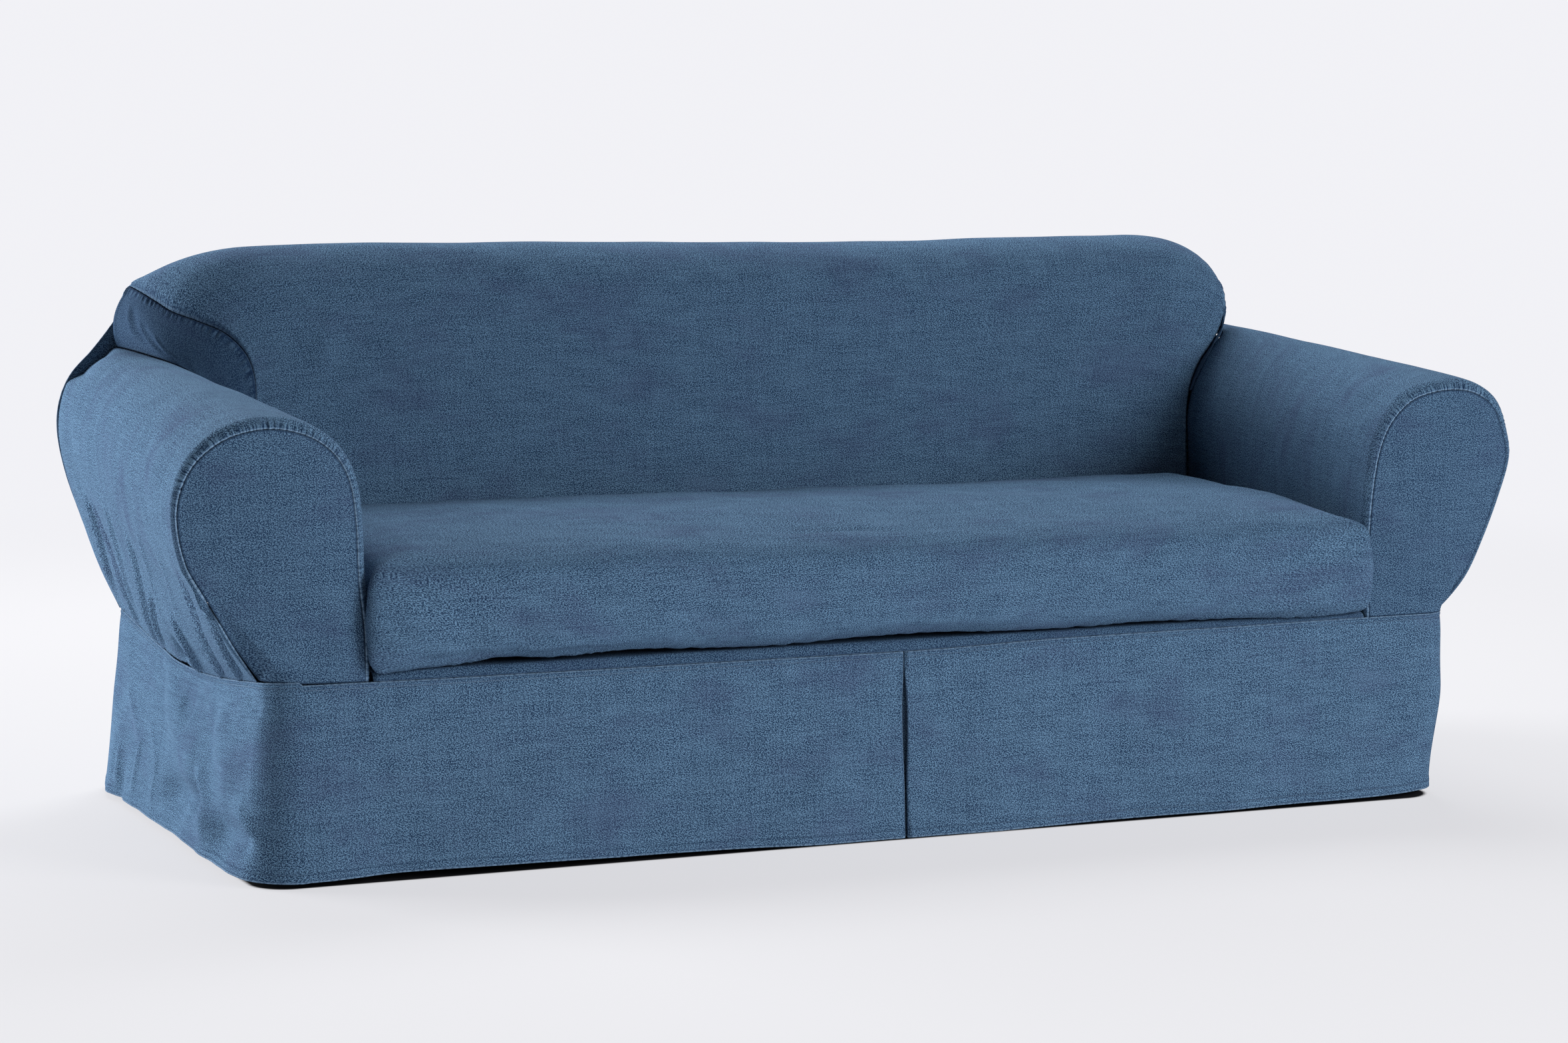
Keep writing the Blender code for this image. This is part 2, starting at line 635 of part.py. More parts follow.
def cushion_cover(parent):
    """The bench cushion's cover: a grid whose outer rings wrap down and under."""
    wraps = len(CUSHION_RINGS) - 1
    columns = CUSHION_TOP_COLUMNS + 2 * wraps
    rows = CUSHION_TOP_ROWS + 2 * wraps
    middle_depth = (CUSHION_REAR_DEPTH + CUSHION_FRONT_DEPTH) * 0.5

    def place(u, v):
        column = round(u * columns)
        row = round(v * rows)
        ring = wraps - min(column, columns - column, row, rows - row, wraps)
        left_over = columns - 2 * (wraps - ring)
        rows_over = rows - 2 * (wraps - ring)
        a = 2.0 * (column - (wraps - ring)) / left_over - 1.0
        b = 2.0 * (row - (wraps - ring)) / rows_over - 1.0
        if ring == 0:
            inner = CUSHION_RINGS[0].inset
            across, depth = ring_point(a, b, inner)
            dome = (1.0 - abs(a) ** CUSHION_DOME_POWER) * (1.0 - abs(b) ** CUSHION_DOME_POWER)
            rise = CUSHION_RINGS[0].height + (CUSHION_CROWN - CUSHION_RINGS[0].height) * dome
        else:
            across, depth = ring_point(a, b, CUSHION_RINGS[ring].inset)
            rise = CUSHION_RINGS[ring].height
        depth += middle_depth
        rear = smoothstep(-0.060, 0.260, depth) * smoothstep(-0.060, 0.010, rise)
        lean = CUSHION_LEAN * smoothstep(0.4, -0.9, across) * smoothstep(-0.060, 0.0, rise)
        height = CUSHION_EDGE_TOP + rise + CUSHION_REAR_RISE * rear + lean
        height = max(height, CUSHION_BOTTOM)
        across *= 1.0 + CUSHION_FRONT_SPREAD * smoothstep(0.022, -0.018, depth) * smoothstep(6.5, 5.0, ring)
        if depth < middle_depth and 2 <= ring <= 6:
            for pucker in CUSHION_PUCKERS:
                low = smoothstep(-0.02, -0.10, rise) * smoothstep(6.5, 4.5, ring)
                depth -= pucker.lift * low * hill(across - pucker.across, pucker.width)
        return Vector((across, depth, height))
    return make_panel("seat_cushion_cover", columns, rows, place, DENIM_FACE, parent)


# ---- skirt ----
class SkirtLevel(NamedTuple):
    """The height of the skirt's top seam and hem along the front."""
    where: str
    across: float
    seam: float
    hem: float


FRONT_LEVELS = [
    SkirtLevel("left corner", -1.000, 0.304, 0.010),
    SkirtLevel("left arm", -0.950, 0.299, 0.011),
    SkirtLevel("left swell", -0.680, 0.297, 0.017),
    SkirtLevel("left run", -0.396, 0.296, 0.013),
    SkirtLevel("pleat", 0.017, 0.295, 0.004),
    SkirtLevel("right rise", 0.330, 0.301, 0.008),
    SkirtLevel("right run", 0.534, 0.302, 0.009),
    SkirtLevel("right arm", 0.850, 0.304, 0.010),
    SkirtLevel("right corner", 1.010, 0.304, 0.011),
]


def front_seam_height(across):
    """The height of the skirt's top seam at the front."""
    return read_table(FRONT_LEVELS, "across", across, "seam")


class SkirtFold(NamedTuple):
    """A soft upright ridge (+) or hollow (-) of the skirt."""
    where: str
    side: str
    along: float            # across at the front and rear, depth at the sides
    width: float
    lift: float             # at the hem
    rise: float             # how far up it reaches, as a share of the drop


SKIRT_FOLDS = [
    SkirtFold("left corner flare", "front", -0.960, 0.090, 0.026, 0.95),
    SkirtFold("left arm hollow", "front", -0.800, 0.100, -0.004, 0.80),
    SkirtFold("left run swell", "front", -0.620, 0.160, 0.006, 0.70),
    SkirtFold("left run hollow", "front", -0.400, 0.120, -0.004, 0.70),
    SkirtFold("left pleat swell", "front", -0.130, 0.120, 0.006, 0.80),
    SkirtFold("right pleat swell", "front", 0.170, 0.100, 0.007, 0.70),
    SkirtFold("right run hollow", "front", 0.360, 0.120, -0.004, 0.60),
    SkirtFold("right run swell", "front", 0.560, 0.150, 0.006, 0.70),
    SkirtFold("right end swell", "front", 0.800, 0.120, 0.005, 0.60),
    SkirtFold("right corner draw", "front", 1.010, 0.110, -0.034, 0.60),
    SkirtFold("left front bend", "left", 0.120, 0.070, 0.010, 0.80),
    SkirtFold("left dent", "left", 0.260, 0.060, -0.008, 0.70),
    SkirtFold("left middle ridge", "left", 0.420, 0.080, 0.012, 0.90),
    SkirtFold("left hollow", "left", 0.560, 0.070, -0.007, 0.85),
    SkirtFold("left rear ridge", "left", 0.700, 0.060, 0.022, 0.95),
    SkirtFold("left rear hollow", "left", 0.790, 0.045, -0.006, 0.90),
    SkirtFold("left rear flare", "left", 0.880, 0.070, 0.028, 0.95),
    SkirtFold("right front draw", "right", 0.020, 0.200, -0.036, 0.60),
    SkirtFold("right middle ridge", "right", 0.400, 0.090, 0.010, 0.80),
    SkirtFold("right rear ridge", "right", 0.720, 0.070, 0.012, 0.90),
    SkirtFold("rear left ridge", "rear", -0.600, 0.150, 0.006, 0.80),
    SkirtFold("rear middle ridge", "rear", 0.050, 0.180, 0.005, 0.80),
    SkirtFold("rear right ridge", "rear", 0.620, 0.150, 0.006, 0.80),
]

HEM_FLARE = 0.012           # the skirt stands out a little towards its hem


class PlanPoint(NamedTuple):
    """A point of the skirt's plan, with its outward direction and its place."""
    across: float
    depth: float
    out_across: float
    out_depth: float
    side: str
    along: float
    pleat_side: float       # -1 or 1 on the folds of the kick pleat, else 0
    layer: float            # how many layers behind the front


SKIRT_FRONT_STEPS = 22      # columns on each side of the pleat
SKIRT_LEFT_STEPS = 28        # the side with the deeper folds
SKIRT_RIGHT_STEPS = 18
SKIRT_REAR_STEPS = 12
CORNER_STEPS = 3
FOLD_STEPS = 3
SKIRT_ROWS = 5
PLEAT_SEWN = 0.12            # share of the drop over which the pleat is stitched shut
PLEAT_REACH = 0.12           # how far along the cloth the open pleat draws


def straight(start, end, steps, outward_way, side, pleat_side=0.0, layer=0.0):
    """Plan points along a straight run, without its last point."""
    points = []
    for index in range(steps):
        share = index / steps
        across = mix(start[0], end[0], share)
        depth = mix(start[1], end[1], share)
        along = across if side in ("front", "rear") else depth
        points.append(PlanPoint(across, depth, *outward_way, side, along, pleat_side, layer))
    return points


def corner(centre, radius, first_angle, side, steps):
    """Plan points round an outer corner, without its last point."""
    points = []
    for index in range(steps):
        angle = first_angle + math.pi * 0.5 * index / steps
        way = (math.cos(angle), math.sin(angle))
        across = centre[0] + way[0] * radius
        depth = centre[1] + way[1] * radius
        along = across if side in ("front", "rear") else depth
        points.append(PlanPoint(across, depth, *way, side, along, 0.0, 0.0))
    return points


def fold_turn(edge, first_layer, toward, pleat_side):
    """Plan points round one folded edge of the pleat, between two layers."""
    points = []
    radius = PLEAT_LAYER * 0.5
    for index in range(1, FOLD_STEPS):
        angle = math.pi * index / FOLD_STEPS
        across = edge + toward * radius * math.sin(angle)
        layer = first_layer + (1.0 - math.cos(angle)) * 0.5
        points.append(PlanPoint(across, layer * PLEAT_LAYER, 0.0, -1.0, "front", edge, pleat_side, layer))
    return points


def skirt_plan():
    """The closed plan of the skirt, from the pleat round to the right and back."""
    radius = PLEAT_LAYER * 0.5
    meet_right = PLEAT_ACROSS + radius + SEAM_GAP
    meet_left = PLEAT_ACROSS - radius - SEAM_GAP
    deep_right = PLEAT_ACROSS + PLEAT_WIDTH
    deep_left = PLEAT_ACROSS - PLEAT_WIDTH
    left = SKIRT_LEFT
    right = SKIRT_RIGHT
    rear = SKIRT_DEPTH
    near = CORNER_RADIUS
    far = REAR_CORNER_RADIUS
    points = []
    points += straight((meet_right, 0.0), (right - near, 0.0), SKIRT_FRONT_STEPS, (0.0, -1.0), "front")
    points += corner((right - near, near), near, -math.pi * 0.5, "front", CORNER_STEPS)
    points += straight((right, near), (right, rear - far), SKIRT_RIGHT_STEPS, (1.0, 0.0), "right")
    points += corner((right - far, rear - far), far, 0.0, "right", CORNER_STEPS)
    points += straight((right - far, rear), (left + far, rear), SKIRT_REAR_STEPS, (0.0, 1.0), "rear")
    points += corner((left + far, rear - far), far, math.pi * 0.5, "rear", CORNER_STEPS)
    points += straight((left, rear - far), (left, near), SKIRT_LEFT_STEPS, (-1.0, 0.0), "left")
    points += corner((left + near, near), near, math.pi, "left", CORNER_STEPS)
    points += straight((left + near, 0.0), (meet_left, 0.0), SKIRT_FRONT_STEPS, (0.0, -1.0), "front")
    layer = PLEAT_LAYER
    forward = (0.0, -1.0)
    points.append(PlanPoint(meet_left, 0.0, *forward, "front", meet_left, -1.0, 0.0))
    points += fold_turn(meet_left, 0.0, 1.0, -1.0)
    points += straight((meet_left, layer), (deep_left, layer), 2, forward, "front", -1.0, 1.0)
    points.append(PlanPoint(deep_left, layer, *forward, "front", deep_left, -1.0, 1.0))
    points += fold_turn(deep_left, 1.0, -1.0, -1.0)
    points += straight((deep_left, 2.0 * layer), (deep_right, 2.0 * layer), 4, forward, "front", -1.0, 2.0)
    points.append(PlanPoint(deep_right, 2.0 * layer, *forward, "front", deep_right, 1.0, 2.0))
    points += reversed(fold_turn(deep_right, 1.0, 1.0, 1.0))
    points += straight((deep_right, layer), (meet_right, layer), 2, forward, "front", 1.0, 1.0)
    points.append(PlanPoint(meet_right, layer, *forward, "front", meet_right, 1.0, 1.0))
    points += reversed(fold_turn(meet_right, 0.0, -1.0, 1.0))
    return points


def skirt_heights(point):
    """The seam's and the hem's height at a plan point."""
    if point.side == "front":
        seam = front_seam_height(point.across)
        hem = read_table(FRONT_LEVELS, "across", point.across, "hem")
        return seam, hem
    if point.side == "rear":
        return REAR_SKIRT_TOP, HEM_HEIGHT
    arm = ARMS[0] if point.side == "left" else ARMS[1]
    return SKIRT_TOP - side_sag(arm, point.depth), HEM_HEIGHT


def skirt(parent):
    """One strip all round, its ends joined behind the kick pleat."""
    plan = skirt_plan()

    def place(u, v):
        point = plan[round(u * len(plan)) % len(plan)]
        seam, hem = skirt_heights(point)
        drop = 1.0 - v
        stands_out = HEM_FLARE * drop
        for fold in SKIRT_FOLDS:
            if fold.side == point.side and point.pleat_side == 0.0:
                reach = smoothstep(1.0 - fold.rise, 1.0, drop)
                stands_out += fold.lift * reach * hill(point.along - fold.along, fold.width)
        opening = PLEAT_SPREAD * smoothstep(PLEAT_SEWN, 1.0, drop)
        near_pleat = hill(point.across - PLEAT_ACROSS, PLEAT_REACH)
        shift = math.copysign(opening * near_pleat, point.across - PLEAT_ACROSS)
        if point.layer > 1.0 + 1e-6:
            shift = 0.0
        behind = point.layer * PLEAT_LAYER * 0.5 * drop
        return Vector((
            point.across + point.out_across * stands_out + shift,
            point.depth + point.out_depth * stands_out + behind,
            mix(seam - SEAM_GAP, hem, drop),
        ))
    return make_panel("skirt", len(plan), SKIRT_ROWS, place, DENIM_FACE, parent)


# ---- build ----
def clear_scene():
    """Remove every object that the file opened with."""
    for item in list(bpy.data.objects):
        bpy.data.objects.remove(item, do_unlink=True)


def build():
    """Make every panel and hang the cover from its origin."""
    clear_scene()
    floor_frame = bpy.data.objects.new("floor_frame", None)
    floor_frame.location = -HANGING_POINT
    bpy.context.scene.collection.objects.link(floor_frame)
    skirt(floor_frame)
    deck(floor_frame)
    cushion_cover(floor_frame)
    back_cover(floor_frame)
    outside_back(floor_frame)
    for arm in ARMS:
        arm_sheet(arm, floor_frame)
        arm_front(arm, floor_frame)
        back_end(arm, floor_frame)


build()
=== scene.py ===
"""A washed denim sofa cover, sewn panel by panel over its collision frame.

Laid out as an add-on: the settings hold the sizes and colours, one operator makes each
group of panels, and the sidebar panel lists them. Positions in the tables are given as
the cover stands in a room: "across" runs from the middle of the seat to the sitter's
left (+), "depth" from the skirt's front seam to the rear, "height" above the floor.
"""

import math
from typing import NamedTuple

import bmesh
import bpy
import numpy as np
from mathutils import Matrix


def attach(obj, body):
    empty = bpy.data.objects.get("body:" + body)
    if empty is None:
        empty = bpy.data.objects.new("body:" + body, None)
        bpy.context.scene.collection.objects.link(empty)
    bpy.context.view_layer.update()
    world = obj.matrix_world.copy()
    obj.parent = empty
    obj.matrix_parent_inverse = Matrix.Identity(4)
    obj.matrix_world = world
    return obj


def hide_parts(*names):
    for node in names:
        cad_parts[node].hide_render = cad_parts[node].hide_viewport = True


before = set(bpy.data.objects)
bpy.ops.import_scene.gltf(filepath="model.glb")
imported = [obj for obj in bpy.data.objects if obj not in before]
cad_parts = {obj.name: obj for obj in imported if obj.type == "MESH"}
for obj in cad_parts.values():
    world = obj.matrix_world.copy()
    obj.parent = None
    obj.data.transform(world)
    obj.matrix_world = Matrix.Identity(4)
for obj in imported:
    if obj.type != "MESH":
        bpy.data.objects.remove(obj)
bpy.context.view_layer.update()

bl_info = {
    "name": "Denim Sofa Cover",
    "version": (1, 0, 0),
    "blender": (4, 5, 0),
    "location": "3D View > Sidebar > Sofa Cover",
    "description": "Sews a fitted denim sofa cover with a gathered back and a pleated skirt",
    "category": "Object",
}

# ---- driving dimensions, in metres ----
HANGING_POINT = np.array((0.0, 0.800, 0.8945))   # the origin, in the room's positions

SEAM_GAP = 0.0006
SEAT_GAP = 0.0013

SKIRT_LEFT = -1.000
SKIRT_RIGHT = 1.010
SKIRT_DEPTH = 0.916
SKIRT_TOP = 0.304
REAR_SKIRT_TOP = 0.303
CORNER_RADIUS = 0.052
REAR_CORNER_RADIUS = 0.018
HEM_HEIGHT = 0.010
FRONT_FLARE = 0.014
CORNER_FLARE = 0.029
LEFT_FLARE = 0.040
REAR_CORNER_FLARE = 0.032
RIGHT_FLARE = 0.012
HEM_ROW = 0.0135            # the stitched row above the hem's edge

PLEAT_ACROSS = 0.017
PLEAT_WIDTH = 0.075
PLEAT_LAYER = 0.0050
PLEAT_SPREAD = 0.0036
PLEAT_SEWN = 0.05
PLEAT_REACH = 0.12

BACK_REAR_DEPTH = 0.905
REAR_PANEL_DEPTH = 0.9077
REAR_PANEL_BULGE = 0.012

DECK_HEIGHT = 0.3120
DECK_REAR_DEPTH = 0.600
DECK_HALF_WIDTH = 0.8410
DECK_LIP_DEPTH = -0.0025
DECK_FRONT_DEPTH = 0.010

CUSHION_HALF_WIDTH = 0.8355
CUSHION_FRONT_DEPTH = -0.0300
CUSHION_REAR_DEPTH = 0.6020
CUSHION_BOTTOM = 0.3127
CUSHION_EDGE_TOP = 0.4480
CUSHION_CROWN = 0.0400
CUSHION_CORNER = 0.020
CUSHION_LEAST_CORNER = 0.012
CUSHION_REAR_RISE = 0.017
CUSHION_FRONT_SPREAD = 0.0160
CUSHION_LEFT_SPREAD = 0.0090   # the left end fills out further
CUSHION_DOME_POWER = 2.6
CUSHION_LEAN = 0.008
CUSHION_END_SHARE = 0.35    # the ends are drawn under less than the front


# ---- settings ----
class ClothSettings(bpy.types.PropertyGroup):
    """The denim: its thickness, colours and weave."""
    thickness: bpy.props.FloatProperty(
        name="Thickness", description="Thickness of one sheet", default=0.0018, unit="LENGTH")
    # also the colour that the painted shade and painted shadows blend toward
    deep_blue: bpy.props.FloatVectorProperty(
        name="Deep Blue", description="Colour of the dark warp threads", subtype="COLOR",
        default=(0.010, 0.026, 0.064))
    mid_blue: bpy.props.FloatVectorProperty(
        name="Mid Blue", description="Main colour of the washed cloth", subtype="COLOR",
        default=(0.046, 0.086, 0.148))
    # also the colour of the painted highlight on the tops of the little gathers
    pale_blue: bpy.props.FloatVectorProperty(
        name="Pale Blue", description="Colour of the light weft flecks", subtype="COLOR",
        default=(0.134, 0.244, 0.378))
    violet: bpy.props.FloatVectorProperty(
        name="Violet Cast", description="Colour of the less washed patches", subtype="COLOR",
        default=(0.046, 0.060, 0.130))
    worn: bpy.props.FloatVectorProperty(
        name="Worn Edge", description="Colour of the rubbed seams", subtype="COLOR",
        default=(0.190, 0.300, 0.440))
    thread: bpy.props.FloatVectorProperty(
        name="Thread", description="Colour of the sewing thread", subtype="COLOR",
        default=(0.190, 0.285, 0.400))
    roughness: bpy.props.FloatProperty(
        name="Roughness", description="Roughness of the cloth", default=1.0, min=0.0, max=1.0)


class SewingSettings(bpy.types.PropertyGroup):
    """Seams, gathers and slack folds."""
    welt: bpy.props.FloatProperty(
        name="Seam Welt", description="How far a turned seam stands proud", default=0.0009,
        unit="LENGTH")
    gather: bpy.props.FloatProperty(
        name="Gathers", description="Depth of the gathers along a curved seam", default=0.0018,
        unit="LENGTH")
    softness: bpy.props.FloatProperty(
        name="Softness", description="Depth of the broad unevenness of every panel", default=0.0016,
        unit="LENGTH")
    folds: bpy.props.FloatProperty(
        name="Folds", description="Strength of the slack folds", default=1.0, min=0.0, max=2.0)


class StageSettings(bpy.types.PropertyGroup):
    """Floor, light and camera."""
    floor_colour: bpy.props.FloatVectorProperty(
        name="Floor", description="Colour of the floor", subtype="COLOR", default=(0.60, 0.60, 0.61))
    backdrop: bpy.props.FloatVectorProperty(
        name="Backdrop", description="Colour behind the object", subtype="COLOR",
        default=(0.884, 0.884, 0.922))
    glow: bpy.props.FloatProperty(
        name="Floor Glow", description="How evenly lit the floor is near the object", default=0.72,
        min=0.0, max=1.0)
    ambient: bpy.props.FloatProperty(
        name="Ambient", description="Strength of the even light", default=0.02, min=0.0)
    power: bpy.props.FloatProperty(
        name="Light Power", description="Scales all the lights", default=1.0, min=0.0)
    focal_length: bpy.props.FloatProperty(
        name="Focal Length", description="Lens of the camera", default=91.64, min=10.0)


# ---- small shaping tools; they take numbers or arrays of numbers ----
def smoothstep(low, high, value):
    """Rise gently from 0 at low to 1 at high."""
    part = np.clip((value - low) / (high - low), 0.0, 1.0)
    return part * part * (3.0 - 2.0 * part)


def hill(distance, width):
    """A soft bump, 1 in its middle and almost 0 at its width."""
    return np.exp(-3.0 * (distance / width) ** 2)


def mix(first, second, share):
    """Blend two numbers or arrays."""
    return first * (1.0 - share) + second * share


def curve(values, place):
    """Read a smooth curve through evenly spaced values, place running from 0 to 1."""
    values = np.asarray(values, float)
    last = len(values) - 1
    step = np.clip(place, 0.0, 1.0) * last
    index = np.minimum(np.asarray(step).astype(int), last - 1)
    part = step - index
    before = values[np.maximum(index - 1, 0)]
    start = values[index]
    end = values[index + 1]
    after = values[np.minimum(index + 2, last)]
    ease = part * part * (3.0 - 2.0 * part)
    lead = part * (1.0 - part) ** 2
    trail = part * part * (1.0 - part)
    bend = (end - before) * 0.5 * lead - (after - start) * 0.5 * trail
    return mix(start, end, ease) + bend


def column(rows, name):
    """One named column of a table."""
    return np.array([getattr(row, name) for row in rows], float)


def between(rows, key, position, value):
    """Read a column between rows that are ordered by another column."""
    keys = column(rows, key)
    values = column(rows, value)
    index = np.clip(np.searchsorted(keys, position) - 1, 0, len(keys) - 2)
    share = smoothstep(keys[index], keys[index + 1], position)
    return mix(values[index], values[index + 1], share)


def point(across, depth, height):
    """Stack three arrays into positions."""
    return np.stack(np.broadcast_arrays(across, depth, height), axis=-1).astype(float)


def unit(vectors):
    """Vectors of length 1, and 0 where there is no direction."""
    length = np.linalg.norm(vectors, axis=-1, keepdims=True)
    return vectors / np.maximum(length, 1e-9)


def soft_noise(s, t, size, turn=0.0):
    """Broad uneven waves between about -1 and 1, a wave being about one size long."""
    k = 2.0 * math.pi / size
    return (
        np.sin(k * (0.91 * s + 0.33 * t) + 1.7 + turn)
        + np.sin(k * (0.37 * s - 0.83 * t) + 4.1 + 1.9 * turn)
        + np.sin(k * (0.59 * s + 1.27 * t) + 0.6 - 1.3 * turn)
        + 0.6 * np.sin(k * (1.73 * s - 0.41 * t) + 2.9 + 2.3 * turn)
        + 0.5 * np.sin(k * (1.21 * s + 1.93 * t) + 5.2 + 0.7 * turn)
    ) / 3.0


def pucker(run, pitch, turn=0.0):
    """Uneven little waves along a seam, between -1 and 1."""
    phase = 2.0 * math.pi * run / pitch
    wander = 1.6 * np.sin(phase * 0.131 + turn) + 0.9 * np.sin(phase * 0.317 + 2.0 * turn)
    size = 0.62 + 0.38 * np.sin(phase * 0.173 + 1.0 + turn)
    return size * np.sin(phase + wander)


class Wave(NamedTuple):
    """One size of a panel's broad unevenness."""
    strength: float         # a share of the softness setting
    size: float
    turn: float             # sets the waves of one panel apart from another's
    stretch_s: float = 1.0  # below 1 draws the waves out that way
    stretch_t: float = 1.0


def uneven(waves, s, t, side=1.0):
    """The broad unevenness of a panel at the flat positions s, t."""
    total = np.zeros(np.broadcast(s, t).shape)
    for wave in waves:
        total = total + wave.strength * soft_noise(
            s * wave.stretch_s, t * wave.stretch_t, wave.size, wave.turn * side)
    return bpy.context.scene.cover_sewing.softness * total


class Gather(NamedTuple):
    """The little waves along one seam."""
    strength: float         # a share of the gathers setting
    pitch: float
    turn: float
    middle: float           # from the seam to the middle of the waves
    reach: float


def gathers(item, run, away, side=1.0):
    """The waves of a gathered seam, away being the distance from it."""
    height = bpy.context.scene.cover_sewing.gather * item.strength
    return height * pucker(run, item.pitch, item.turn * side) * hill(away - item.middle, item.reach)


class Ridge(NamedTuple):
    """A rounded ridge (+) or groove (-) that runs along a seam."""
    strength: float         # a share of the seam welt setting
    middle: float           # from the seam
    reach: float


def welts(items, away):
    """The turned cloth that stands proud or sinks beside a seam."""
    welt = bpy.context.scene.cover_sewing.welt
    return welt * sum(item.strength * hill(away - item.middle, item.reach) for item in items)


class Fold(NamedTuple):
    """A slack fold along a bent line in the flat cloth: start, middle, end."""
    where: str
    s1: float
    t1: float
    s2: float
    t2: float
    s3: float
    t3: float
    width: float
    lift: float             # + stands out, - sinks in
    lean: float = 0.0       # -1 or 1 puts a hollow on that side of a ridge
    open_end: bool = False  # True where the fold runs into a seam at its end


FOLD_STEPS = 8
FOLD_RISE = (0.0, 0.30)     # shares of a fold's length over which it rises and dies away
FOLD_FALL = (1.0, 0.72)
FOLD_WIDTHS = (0.75, 1.25)  # shares of a fold's width at its start and at its end
HOLLOW_DEPTH = 0.7          # the hollow beside a leaning ridge, as a share of its lift
HOLLOW_PLACE = 1.5          # and how many widths away it lies
LEANING_RIDGE = 0.6         # a leaning ridge is narrower


def bent_line(first, middle, last):
    """Points along a bent line that passes through its middle."""
    shares = np.linspace(0.0, 1.0, FOLD_STEPS + 1)
    bend = 2.0 * middle - 0.5 * (first + last)
    return (1 - shares) ** 2 * first + 2 * shares * (1 - shares) * bend + shares ** 2 * last


def fold_relief(folds, s, t):
    """The height of all folds at the flat positions s, t."""
    relief = np.zeros_like(s, dtype=float)
    for fold in folds:
        best = np.full(s.shape, np.inf)
        where = np.zeros(s.shape)
        side = np.zeros(s.shape)
        path_s = bent_line(fold.s1, fold.s2, fold.s3)
        path_t = bent_line(fold.t1, fold.t2, fold.t3)
        for index in range(FOLD_STEPS):
            run_s = path_s[index + 1] - path_s[index]
            run_t = path_t[index + 1] - path_t[index]
            off_s = s - path_s[index]
            off_t = t - path_t[index]
            long = max(run_s * run_s + run_t * run_t, 1e-12)
            along = np.clip((off_s * run_s + off_t * run_t) / long, 0.0, 1.0)
            away = np.hypot(off_s - along * run_s, off_t - along * run_t)
            nearer = away < best
            best = np.where(nearer, away, best)
            where = np.where(nearer, (index + along) / FOLD_STEPS, where)
            side = np.where(nearer, np.sign(off_s * run_t - off_t * run_s), side)
        fade = smoothstep(*FOLD_RISE, where)
        if not fold.open_end:
            fade = fade * smoothstep(*FOLD_FALL, where)
        width = fold.width * mix(*FOLD_WIDTHS, where)
        ridge = width * (LEANING_RIDGE if fold.lean else 1.0)
        shape = np.exp(-(best / ridge) ** 2)
        if fold.lean:
            past = best * side - fold.lean * HOLLOW_PLACE * width
            shape = shape - HOLLOW_DEPTH * np.exp(-(past / width) ** 2)
        relief = relief + fold.lift * fade * shape
    return bpy.context.scene.cover_sewing.folds * relief


# ---- materials ----
NODE_STEP = (220, -260)     # from node to node in the editor, across and down
NODE_ROWS = 8


class Noise(NamedTuple):
    """An uneven pattern: how many waves go into a metre along each axis, and its finer parts."""
    scale: tuple
    turn: float = 0.0       # radians in the sheet's plane
    detail: float = 1.0
    roughness: float = 0.6


class Ramp(NamedTuple):
    """A value from low to high becomes one from bottom to top."""
    low: float
    high: float
    bottom: float = 0.0
    top: float = 1.0


# the threads of the denim, each with its share in the grain
HEATHER = (Noise((470.0, 600.0, 1.0), 0.55), 0.56)
FLECK = (Noise((950.0, 1200.0, 1.0), -0.35), 0.32)
SLUB = (Noise((14.0, 190.0, 1.0), detail=2.5), 0.07)
WARP = (Noise((200.0, 10.0, 1.0), detail=2.0), 0.05)
DARK_THREADS = Ramp(0.455, 0.502, 1.0, 0.0)
PALE_THREADS = Ramp(0.500, 0.546)

LESS_WASHED = Noise((5.0, 9.0, 1.0), detail=4.0, roughness=0.62)
VIOLET_PATCHES = Ramp(0.46, 0.70, 0.0, 0.34)
CLOUDS = Noise((14.0, 34.0, 1.0), detail=4.0, roughness=0.65)
PALE_CLOUDS = Ramp(0.40, 0.72, 0.0, 0.14)
CRUMPLE = Noise((38.0, 38.0, 53.2), detail=5.0)

TICKS = Noise((170.0, 22.0, 1.0), roughness=0.5)      # little gathers square to a seam
TICK_START = 0.004
# painted highlight on the tops of the little gathers and painted shade in their dips
TICK_CREST_HIGHLIGHT = Ramp(0.50, 0.60, 0.0, 0.70)
TICK_HOLLOW_SHADE = Ramp(0.39, 0.48, 0.90, 0.0)
RUB_BREAKS = Ramp(0.40, 0.56, 0.30, 1.0)
RUB_START = 0.6             # as a share of the worn line's width
SEAM_SHADOW = 0.0030

STITCH_LENGTH = 0.0042
STITCH_ENDS = Ramp(0.34, 0.44, 0.55, 0.0)
ON_ROW = Ramp(0.0004, 0.0010, 1.0, 0.0)
# the groove beside a stitched row: sunk by the bump and darkened by painted shade
ROW_GROOVE_AND_SHADE = Ramp(0.0006, 0.0030, 0.40, 0.0)

# strength and depth in metres
STITCH_BUMP = (0.8, 0.0007)
TICK_BUMP = (0.9, 0.0022)
CRUMPLE_BUMP = (0.20, 0.0022)
GRAIN_BUMP = (0.4, 0.0006)
CLOTH_SHEEN = {"Sheen Weight": 0.006, "Sheen Roughness": 0.6, "Specular IOR Level": 0.03}


